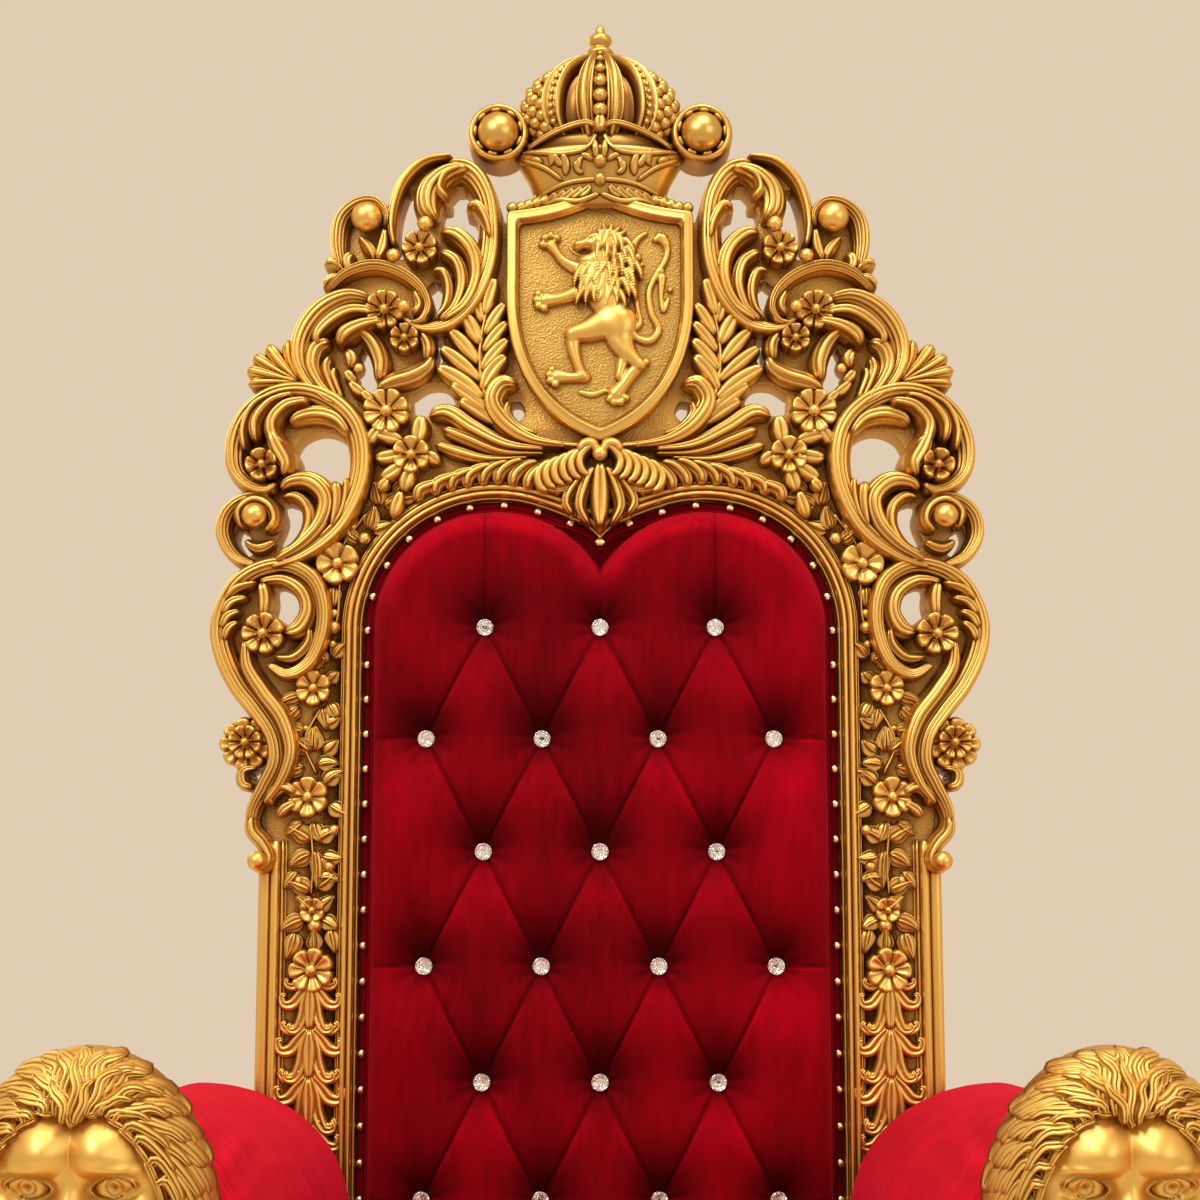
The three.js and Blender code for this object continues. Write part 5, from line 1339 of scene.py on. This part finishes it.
def make_cushion(pad):
    """The loose seat cushion: a rounded box, crowned, pulled in between its corners, with piping at its
    edges."""
    LOW, X_HALF, Y_FRONT, Y_BACK = 400.3, 257.0, -346.0, 222.0
    middle, y_half = (Y_FRONT + Y_BACK) / 2, (Y_BACK - Y_FRONT) / 2
    turn = once_round(220)
    square_x, square_y = (np.sign(v) * np.abs(v) ** 0.22 for v in (np.cos(turn), np.sin(turn)))
    waist = 1 - 0.018 * (np.abs(np.sin(2 * turn)) ** 0.3 < 0.5) - 0.012 * np.cos(2 * turn) ** 2
    pipe = np.linspace(-np.pi / 2, np.pi / 2, 7)
    levels = [(0.30, 0), (0.6, 0), (0.9, 0.5), (0.955, 3.0)]
    levels += [(0.965 + 0.012 * np.cos(a), 8 + 4 * np.sin(a)) for a in pipe]
    levels += [(0.968, 16), (0.985, 30), (0.99, 46), (0.982, 62), (0.966, 74)]
    levels += [(0.960 + 0.012 * np.cos(a), 80 + 4 * np.sin(a)) for a in pipe]
    levels += [(0.945, 85), (0.90, 91), (0.82, 96.5), (0.70, 101), (0.55, 104.5), (0.38, 106.5),
               (0.2, 107.5), (0.05, 108)]
    share, height = (np.array(column)[:, None] for column in zip(*levels))
    x = X_HALF * share * square_x * waist
    y = middle + y_half * share * square_y * waist
    z = LOW + height - (height > 60) * 5.0 * (np.abs(square_x * square_y) ** 2) * share ** 3 + 0 * turn
    # painted shade and highlight: the tone is dark at the foot and beside each piping, and light on the
    # pipings' crests
    tone = np.interp(height, (0, 4, 8, 14, 30, 74, 78, 80, 86, 100),
                     (0.2, 0.2, 1, 0.4, 0.8, 0.4, 0.4, 1, 0.5, 0.9))
    pad.skin(np.stack([x, y, z], axis=-1) * MM, tone + 0 * turn, pair=False)


# ---- lions ---------------------------------------------------------------------------------------
def head_swell(u, v):
    """The head's plain swell over its back plane: the half superellipse 0.14 + 0.5 (1 - reach^2.4)^0.5."""
    reach = np.minimum(1.0, np.hypot(u, v * HEAD_HALF / HEAD_HEIGHT))
    return 0.14 + 0.5 * np.sqrt(np.clip(1 - reach ** 2.4, 0, 1))


def iris_reach(u, v):
    """Distance from the middle of an iris."""
    return np.hypot(np.abs(u) - 0.315, v - 0.345)


def face_relief(u, v):
    """Height of the lion's face over its back plane at places u across and v up, all in half-widths of the
    head."""
    def bump(cu, cv, wu, wv, height):
        return height * np.exp(-(((np.abs(u) - cu) / wu) ** 2) - ((v - cv) / wv) ** 2)
    rise = head_swell(u, v)
    rise += (bump(0, -0.48, 0.3, 0.26, 0.38) + bump(0, -0.02, 0.12, 0.30, 0.16)
             + bump(0, -0.33, 0.12, 0.09, 0.07))
    dome = np.hypot((np.abs(u) - 0.235) / 0.28, (v - 0.635) / 0.24)
    rise += 0.115 * np.clip(1 - dome ** 2.2, 0, 1) ** 1.15 + bump(0.20, 0.56, 0.17, 0.17, 0.07)
    rise += bump(0.45, 0.47, 0.13, 0.15, 0.07)
    rise += bump(0.34, 0.475, 0.17, 0.035, 0.05)
    rise -= bump(0.31, 0.33, 0.19, 0.10, 0.17) + bump(0.15, 0.31, 0.05, 0.07, 0.06)
    eye = eye_reach(u, v)
    rise += 0.095 * half_ellipse(eye) + 0.05 * np.exp(-((eye - 1.16) / 0.10) ** 2)
    iris = iris_reach(u, v)
    rise -= 0.012 * np.exp(-((iris - 0.058) / 0.009) ** 2) + 0.025 * np.exp(-(iris / 0.022) ** 2)
    rise += (bump(0.17, -0.52, 0.14, 0.12, 0.09) - bump(0, -0.7, 0.28, 0.05, 0.12)
             + bump(0, -0.88, 0.18, 0.11, 0.14))
    rise -= bump(0.09, -0.36, 0.035, 0.03, 0.05) + bump(0, -0.5, 0.02, 0.1, 0.05)
    rise += bump(0.49, 0.08, 0.14, 0.20, 0.07)
    return rise


def eye_reach(u, v):
    """Distance from an eye's middle over the eye's size: 1 on the edge of its almond, which slants
    inwards."""
    across = np.abs(u) - 0.31
    return np.hypot(across / 0.145, (v - 0.343 - 0.10 * across) / (0.082 - 0.12 * np.abs(across)))


def make_lion_head(side, locks):
    """A lion's head: a fine face, and a mane of long wavy locks in overlapping rows, combed up and
    outwards."""
    head = Carving()
    centre = -HEAD_X if side == "left" else HEAD_X

    def on_head(x, rise, z):
        u, v = x / HEAD_HALF, z / HEAD_HALF
        y = HEAD_BACK - np.maximum(head_swell(u, v) * HEAD_HALF + rise, 0.5)
        return np.stack(np.broadcast_arrays(centre + x, y, HEAD_Z + z), axis=-1) * MM

    turn = once_round(256)
    reach = np.concatenate([[0.975], np.linspace(0.975, 0.70, 12)[:-1], np.linspace(0.70, 0.0, 120)[:-1],
                            [0.003]])[:, None]
    u, v = reach * np.cos(turn), reach * np.sin(turn) * HEAD_HEIGHT / HEAD_HALF
    rise = face_relief(u, v) * HEAD_HALF
    rise[0] = 0.0
    eye = eye_reach(u, v)
    iris = iris_reach(u, v)
    tone = 0.85 - 0.85 * np.exp(-((eye - 0.99) / 0.055) ** 2) - 0.5 * np.exp(-((eye - 1.34) / 0.08) ** 2)
    tone = tone - 0.6 * np.exp(-((iris - 0.058) / 0.010) ** 2) - 0.7 * np.exp(-(iris / 0.024) ** 2)
    tone = np.where(reach > 0.70, 0.30, tone)
    points = np.stack([centre + u * HEAD_HALF, HEAD_BACK - rise, HEAD_Z + v * HEAD_HALF], axis=-1) * MM
    head.skin(points, np.clip(tone, 0, 1), pair=False)
    # rows of locks from the rim inwards: start and end as shares of the head, rise, half-width, and how
    # many locks the row has beyond the first number
    rows = ((0.78, 0.985, 6, 8.5, 8), (0.70, 0.97, 10, 8.0, 6), (0.60, 0.93, 14, 7.5, 4),
            (0.0, 0.84, 17, 7.0, 2), (0.0, 0.70, 13, 5.0, 0))
    for row, (start, stop, height, wide, more) in enumerate(rows):
        count = locks + more
        for k in range(count):
            turn_at = 2 * np.pi * (k + 0.5 * (row % 2) + 0.10 * np.sin(2.7 * k)) / count + np.pi / 2
            up = np.sin(turn_at)
            # the hairline dips to a peak between the domes of the brow
            hairline = np.where(up > 0, 0.665 - 0.10 * np.exp(-(np.cos(turn_at) / 0.16) ** 2),
                                0.64 + 0.10 * -up)
            first = max(start, hairline)
            # locks part at the middle line and fall outwards on both sides
            part = np.tanh(3.5 * np.cos(turn_at))
            along = np.linspace(0.0, 1.0, 7)
            sway = 0.045 * np.sin(2 * np.pi * along + 0.7 * k + row) * np.sin(np.pi * along)
            angle = turn_at - part * (0.34 + 0.02 * row) * along ** 2.2 + sway
            dist = first + (stop + 0.010 * np.sin(3.7 * k + row) - first) * along ** 0.85
            x = HEAD_HALF * dist * np.cos(angle)
            z = HEAD_HEIGHT * dist * np.sin(angle)
            half = wide * np.array([0.45, 0.8, 1.0, 1.0, 0.92, 0.72, 0.40])
            head.frond(np.stack([x, z, half], axis=1), rise=height * (1 + 0.10 * np.sin(5.1 * k)), reeds=MANE,
                       groove=1.3, back=-7.0, place=on_head, pair=False, step=4.0, fine=4, swell=1.2)
    return head


LEG_STATIONS = (  # height, depth of the middle, half-width across, half-depth
    (0, -381, 42, 40), (10, -383, 44, 46), (30, -378, 42, 46), (60, -359, 34, 36), (110, -341, 25, 27),
    (190, -337, 30, 32), (270, -343, 48, 46), (330, -337, 58, 42), (384, -337, 56, 34), (400, -337, 50, 26),
    (450, -341, 40, 24), (500, -341, 52, 26), (545, -337, 70, 24),
)
LEG_SHIFT = 20.0  # the whole leg stands this much further back


def on_leg(x, rise, z):
    """A place on the front of the left front leg, `rise` out of its surface."""
    height, depth, half, deep = np.array(LEG_STATIONS, float).T
    half, deep = np.interp(z, height, half), np.interp(z, height, deep)
    side = np.sqrt(np.clip(1 - (x / half) ** 2, 0.02, 1.0))
    y = np.interp(z, height, depth) + LEG_SHIFT - deep * side - rise
    return np.stack(np.broadcast_arrays(x - LEG_X, y, z), axis=-1) * MM


def make_front_leg(side):
    """Front leg: a clawed paw, an ankle, a leafy knee, and a console under the lion's head."""
    SPLAY = 0.22  # radians between one toe and the next
    leg = Carving()
    stations = np.array(LEG_STATIONS, float)
    z = np.concatenate([[0.0], np.linspace(1.0, 545.0, 90)])
    depth, half, deep = (np.interp(z, stations[:, 0], stations[:, k])[:, None] for k in (1, 2, 3))
    smooth = np.array([1, 2, 3, 2, 1]) / 9
    for values in (depth, half, deep):
        values[2:-2, 0] = np.convolve(values[:, 0], smooth, "same")[2:-2]
    turn = once_round(64)
    y = depth + LEG_SHIFT + deep * np.sin(turn)
    y = np.where(z[:, None] > 300, np.minimum(y, HEAD_BACK + 0.2), y)
    leg.skin(np.stack([-LEG_X + half * np.cos(turn), y, z[:, None] + 0 * turn], axis=-1) * MM, 0.75,
             pair=False)
    more = dict(place=on_leg, pair=False, back=-6.0)
    for k in range(-2, 3):
        leg.frond(((k * 5, 205, 3), (k * 13, 265, 9), (k * 19, 325, 10), (k * 21, 372, 4)),
                  rise=11 - abs(k), reeds=CLEFT, **more)
    for k in (-1, 0, 1):
        leg.frond(((k * 6, 200, 4), (k * 10, 160, 7), (k * 9, 118, 3)), rise=7, reeds=CLEFT, **more)
        leg.frond(((k * 8, 412, 5), (k * 16, 460, 9), (k * 26, 508, 10), (k * 30, 538, 5)), rise=8,
                  reeds=THREE, **more)
    leg.beads(((-44, 392), (0, 392), (44, 392)), 4.5, 0.0, on_leg, False)
    for k in range(-1, 2):  # toes and claws
        polar = np.linspace(0.08, np.pi - 0.08, 14)[:, None]
        around = once_round(24)
        shape = np.stack(np.broadcast_arrays(19 * np.sin(polar) * np.cos(around), -40 * np.cos(polar),
                                             24 * np.sin(polar) * np.sin(around)), axis=-1)
        across, ahead = np.sin(k * SPLAY), np.cos(k * SPLAY)
        swing = np.array([[ahead, -across, 0], [across, ahead, 0], [0, 0, 1]])
        toe = shape @ swing.T + (-LEG_X + k * 29, -386, 23)
        toe[..., 2] = np.maximum(toe[..., 2], 0.2)
        leg.skin(toe * MM, 0.85, pair=False)
        claw = shape * (0.3, 0.36, 0.5) @ swing.T + (-LEG_X + k * 31, -420, 13)
        claw[..., 2] = np.maximum(claw[..., 2], 0.2)
        leg.skin(claw * MM, 1.0, pair=False)
    if side == "right":
        leg.mirror()
    return leg


# ---- seat frame ----------------------------------------------------------------------------------
def on_rail(x, rise, z):
    """A place on the front rail's face."""
    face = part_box("front_rail")[1].y / MM - 38.0
    return np.stack(np.broadcast_arrays(x, face - rise, z), axis=-1) * MM


def make_front_rail(carving):
    """The front rail: a scalloped apron with a moulded edge, a shell in the middle and a leaf scroll each
    side."""
    TOP, LOW, HALF = 384.0, 290.0, 344.0
    knots = np.array([(0, LOW - 51), (30, LOW - 40), (70, LOW - 12), (110, LOW + 4), (150, LOW),
                      (190, LOW - 4), (250, LOW + 6), (HALF, LOW + 3)])
    edge = spine([(*k, 0) for k in knots], 8.0)[:, :2]
    x = np.concatenate([-edge[::-1, 0], edge[1:, 0]])[:, None]
    low = np.concatenate([edge[::-1, 1], edge[1:, 1]])[:, None]
    profile = ((-37.5, 0), (-2, 0), (4, 2), (6, 5), (4, 9), (1, 12))  # rise, height above the edge
    rise = np.array([p[0] for p in profile] + [1, 1, 5, 6, 5, 0, -37.5])
    bottom = low + np.array([p[1] for p in profile])
    above = np.array([TOP - 22, TOP - 14, TOP - 12, TOP - 7, TOP - 3, TOP, TOP]) + 0 * low
    z = np.concatenate([bottom, above], axis=1)
    carving.skin(on_rail(x, rise + 0 * z, z), 0.6, pair=False)
    more = dict(place=on_rail, back=-6.0)
    for k in range(-4, 5):
        turn = k * 0.24
        carving.frond(((4 * np.sin(turn), 300, 3), (34 * np.sin(turn), 300 + 26 * np.cos(turn), 8),
                       (60 * np.sin(turn), 300 + 50 * np.cos(turn), 9)), rise=10, pair=False, swell=0.8,
                       **more)
    carving.rosette(0, 296, 17, 8, rise=14, pair=False, **more)
    for line in (((-60, 296, 4), (-110, 320, 9), (-170, 342, 10), (-215, 336, 9), (-226, 316, 8),
                  (-206, 308, 6)),
                 ((-214, 330, 4), (-250, 346, 9), (-300, 342, 8), (-330, 326, 3))):
        carving.frond(line, rise=10, reeds=RIM, **more)
    for x, z, turn in ((-120, 322, 60), (-150, 334, -50), (-180, 344, 40), (-260, 346, -40)):
        carving.leaf(x, z, 34, 8, turn + 90, 30, rise=9, back=-6.0, place=on_rail)
    carving.ball(-214, 316, 8, 6, place=on_rail)


def make_rail(node, axis):
    """A plain rail with a rounded, moulded outer face, made to its solid's size."""
    rail = Carving()
    low, high = (np.array(corner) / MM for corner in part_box(node))
    other = 1 - axis
    near, far, bottom, top = low[other], high[other], low[2], high[2]
    bead = 4.0
    across = np.array([near + 1, near, near + 2, near + 2, near, near + 1, near + bead, far - 2, far, far,
                       far - 2, near + bead])
    up = np.array([bottom + 4, bottom + 10, bottom + 14, top - 14, top - 10, top - 3, top, top, top - 2,
                   bottom + 2, bottom, bottom])
    if node in ("side_rail_right", "rear_rail"):
        across = near + far - across
    along = np.linspace(low[axis], high[axis], 30)
    points = np.empty((30, len(across), 3))
    points[..., axis], points[..., other], points[..., 2] = along[:, None], across, up
    rail.skin(points * MM, 0.6, pair=False)
    return rail


# ---- operators -----------------------------------------------------------------------------------
class THRONE_OT_stage(bpy.types.Operator):
    """Camera at the viewer's place, plain pale floor and walls, and soft studio lights"""
    bl_idname, bl_label = "throne.stage", "Camera, Floor and Lights"
    AWAY, EYE_HEIGHT, LOOK_UP = 2.300, 0.990, 3.5576  # metres from the frame, metres up, degrees
    LENS, SENSOR, SHIFT = 62.73, 36.0, 0.10

    def execute(self, context):
        scene = context.scene
        room = scene.throne_colours.room
        data = bpy.data.cameras.new("viewer")
        data.lens, data.sensor_width, data.shift_y = self.LENS, self.SENSOR, self.SHIFT
        camera = bpy.data.objects.new("viewer", data)
        camera.location = (0.0, FRONT * MM - self.AWAY, self.EYE_HEIGHT)
        camera.rotation_euler = (np.radians(90 + self.LOOK_UP), 0.0, 0.0)
        scene.collection.objects.link(camera)
        scene.camera = camera
        self.floor()
        for name, place, aim, size, power, colour in (
            ("key", (-1.5, -1.8, 3.6), (0, 0.3, 1.3), 1.4, 58, (1.0, 0.97, 0.91)),
            ("fill", (2.4, -2.2, 2.4), (0, 0.3, 1.2), 2.0, 18, (1.0, 0.97, 0.92)),
            ("top", (0.3, -0.5, 3.7), (0, 0.35, 1.2), 1.2, 34, (1.0, 0.96, 0.90)),
            ("rim", (-1.8, 2.2, 2.6), (0, 0.3, 1.4), 1.5, 12, (1.0, 0.96, 0.90)),
        ):
            light = bpy.data.lights.new(name, "AREA")
            light.size, light.energy, light.color = size, power, colour
            lamp = bpy.data.objects.new(name, light)
            lamp.location = place
            away = np.array(place) - np.array(aim)
            level = np.hypot(away[0], away[1])
            lamp.rotation_euler = (np.arctan2(level, away[2]), 0.0, np.arctan2(away[0], -away[1]))
            scene.collection.objects.link(lamp)
        world = bpy.data.worlds.new("room")
        world.use_nodes = True
        sky = world.node_tree.nodes["Background"].inputs
        sky["Color"].default_value, sky["Strength"].default_value = (*room, 1.0), 1.0
        scene.world = world
        scene.view_settings.view_transform = "Standard"
        return {"FINISHED"}

    def floor(self):
        """A wide disc, so plain that only its colour shows."""
        turn = once_round(64)
        rim = np.stack([6 * np.cos(turn), 6 * np.sin(turn), 0 * turn - 0.001], axis=1)
        mesh = bpy.data.meshes.new("floor")
        mesh.from_pydata(rim, [], [list(range(64))])
        finish = Finish("pale_floor")
        shade = finish.mix(finish.noise(3.0), (0.74, 0.67, 0.57), (0.78, 0.71, 0.61))
        mesh.materials.append(finish.surface(Base_Color=shade, Roughness=0.7))
        floor = bpy.data.objects.new("floor", mesh)
        bpy.context.scene.collection.objects.link(floor)


class THRONE_OT_frame_board(bpy.types.Operator):
    """The pierced board, the mouldings, the posts with their vine, and the rear legs"""
    bl_idname, bl_label = "throne.frame_board", "Frame, Posts and Mouldings"

    def execute(self, context):
        make_ground()
        carving = Carving()
        make_legs_and_cross_rail(carving)
        make_mouldings(carving)
        carving.build("frame_mouldings", gilding("gilded_carving"), "gilt_wood", "back_frame")
        vine = Carving()
        make_vine(vine)
        vine.build("post_vine", gilding("gilded_vine", shade=1.2), "gilt_wood", "back_frame")
        return {"FINISHED"}


class THRONE_OT_crest(bpy.types.Operator):
    """The pierced crest: scrolls, leaves, flowers and the knot over the arch"""
    bl_idname, bl_label = "throne.crest", "Crest Carving"

    def execute(self, context):
        scrolls, leaves = Carving(), Carving()
        make_crest(scrolls, leaves)
        make_centre(leaves)
        scrolls.build("crest_scrolls", gilding("gilded_scrolls"), "gilt_wood", "back_frame")
        leaves.build("crest_leaves_and_flowers", gilding("gilded_leaves"), "gilt_wood", "back_frame")
        return {"FINISHED"}


class THRONE_OT_shield(bpy.types.Operator):
    """The shield with its rearing lion"""
    bl_idname, bl_label = "throne.shield", "Shield and Rearing Lion"

    def execute(self, context):
        carving, field = Carving(), Carving()
        make_shield(carving, field)
        make_rearing_lion(carving)
        carving.build("shield_and_lion", gilding("gilded_shield", dim=0.92), "gilt_wood", "back_frame")
        # painted shade: the field's gilding is dimmed to 0.56 of the usual colour, darker than the same gold
        # round it
        field.build("shield_field", gilding("stippled_gold_shield_in_painted_shade", 0.0006, 0.10, 0.56), "gilt_wood",
                    "back_frame")
        return {"FINISHED"}


class THRONE_OT_crown(bpy.types.Operator):
    """The crown and the ringed balls beside it"""
    bl_idname, bl_label = "throne.crown", "Crown"

    def execute(self, context):
        carving = Carving()
        make_crown(carving)
        carving.build("crown", gilding("gilded_crown", dim=0.80), "gilt_wood", "back_frame")
        return {"FINISHED"}


class THRONE_OT_back_pad(bpy.types.Operator):
    """The tufted velvet back, its nailed strip and its cut-glass buttons"""
    bl_idname, bl_label = "throne.back_pad", "Tufted Back"

    def execute(self, context):
        sizes = context.scene.throne_sizes
        colours = context.scene.throne_colours
        finish = velvet("red_back_velvet", colours.back_velvet, 0.84, 2.60)
        pad = make_back_pad(sizes.tuft_depth / MM).build("tufted_back", finish, "back_velvet", "back_pad")
        strip, nails, glass, silver = Carving(), Carving(), Carving(), Carving()
        make_welt(strip)
        strip.build("nailed_strip", finish, "back_velvet", "back_pad")
        make_nails(nails, sizes.nail_pitch / MM, sizes.nail_radius / MM)
        nails.build("brass_nails", brass(), "gilt_wood", "back_frame")
        make_crystals(glass, silver, sizes.button_radius / MM)
        names = [f"crystal_button_{k + 1:02d}" for k in range(len(buttons()))]
        cut = glass.build("cut_glass_buttons", cut_glass(), "crystal", *names).data
        cut.polygons.foreach_set("use_smooth", np.zeros(len(cut.polygons), bool))  # flat facets
        silver.build("button_foils", foil(), "crystal", *names)
        return {"FINISHED"}


class THRONE_OT_arms(bpy.types.Operator):
    """The padded arms and the loose seat cushion"""
    bl_idname, bl_label = "throne.arms", "Arms and Cushion"

    def execute(self, context):
        colours = context.scene.throne_colours
        finish = velvet("red_arm_velvet", colours.arm_velvet, 0.66, 1.34, (0.10, 1.7, 0.10), 0.55)
        for side in ("left", "right"):
            pad = Carving()
            make_arm(pad)
            if side == "right":
                pad.mirror()
            pad.build("padded_arm_" + side, finish, "arm_velvet", "arm_pad_" + side)
        cushion = Carving()
        make_cushion(cushion)
        finish = velvet("red_seat_velvet", colours.back_velvet, 0.84, 2.60)
        cushion.build("seat_cushion_velvet", finish, "back_velvet", "seat_cushion")
        return {"FINISHED"}


class THRONE_OT_lions(bpy.types.Operator):
    """The two lion heads"""
    bl_idname, bl_label = "throne.lions", "Lion Heads"

    def execute(self, context):
        sizes = context.scene.throne_sizes
        finish = gilding("gilded_lion", dull=0.09, painted=0.70)
        for side in ("left", "right"):
            head = make_lion_head(side, sizes.mane_locks)
            head.build("lion_" + side, finish, "gilt_wood", "lion_head_" + side)
        return {"FINISHED"}


class THRONE_OT_seat_frame(bpy.types.Operator):
    """Front legs, rails, deck and back board"""
    bl_idname, bl_label = "throne.seat_frame", "Legs and Rails"

    def execute(self, context):
        finish = gilding("gilded_legs")
        for side in ("left", "right"):
            make_front_leg(side).build("clawed_leg_" + side, finish, "gilt_wood", "front_leg_" + side)
        front = Carving()
        make_front_rail(front)
        front.build("carved_front_rail", finish, "gilt_wood", "front_rail")
        for node, axis in (("side_rail_left", 1), ("side_rail_right", 1), ("rear_rail", 0)):
            make_rail(node, axis).build("moulded_" + node, finish, "gilt_wood", node)
        for node, cover in (("back_board", dark_cloth()), ("seat_deck", timber())):
            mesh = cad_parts[node].data
            mesh.materials.clear()
            mesh.materials.append(cover)
        return {"FINISHED"}


STEPS = (THRONE_OT_stage, THRONE_OT_frame_board, THRONE_OT_crest, THRONE_OT_shield, THRONE_OT_crown,
         THRONE_OT_back_pad, THRONE_OT_arms, THRONE_OT_lions, THRONE_OT_seat_frame)


class THRONE_PT_panel(bpy.types.Panel):
    """Sizes, colours and the making of each part"""
    bl_idname, bl_label = "THRONE_PT_panel", "Gilded Lion Throne"
    bl_space_type, bl_region_type, bl_category = "VIEW_3D", "UI", "Throne"

    def draw(self, context):
        for group in (context.scene.throne_sizes, context.scene.throne_colours):
            for name in group.bl_rna.properties.keys():
                if name not in ("rna_type", "name"):
                    self.layout.prop(group, name)
        for step in STEPS:
            self.layout.operator(step.bl_idname)


CLASSES = (ThroneSizes, ThroneColours, *STEPS, THRONE_PT_panel)


def register():
    for cls in CLASSES:
        bpy.utils.register_class(cls)
    bpy.types.Scene.throne_sizes = PointerProperty(type=ThroneSizes)
    bpy.types.Scene.throne_colours = PointerProperty(type=ThroneColours)


def unregister():
    del bpy.types.Scene.throne_sizes, bpy.types.Scene.throne_colours
    for cls in reversed(CLASSES):
        bpy.utils.unregister_class(cls)


def main():
    register()
    for step in STEPS:
        group, name = step.bl_idname.split(".")
        getattr(getattr(bpy.ops, group), name)()


if __name__ == "__main__":
    main()
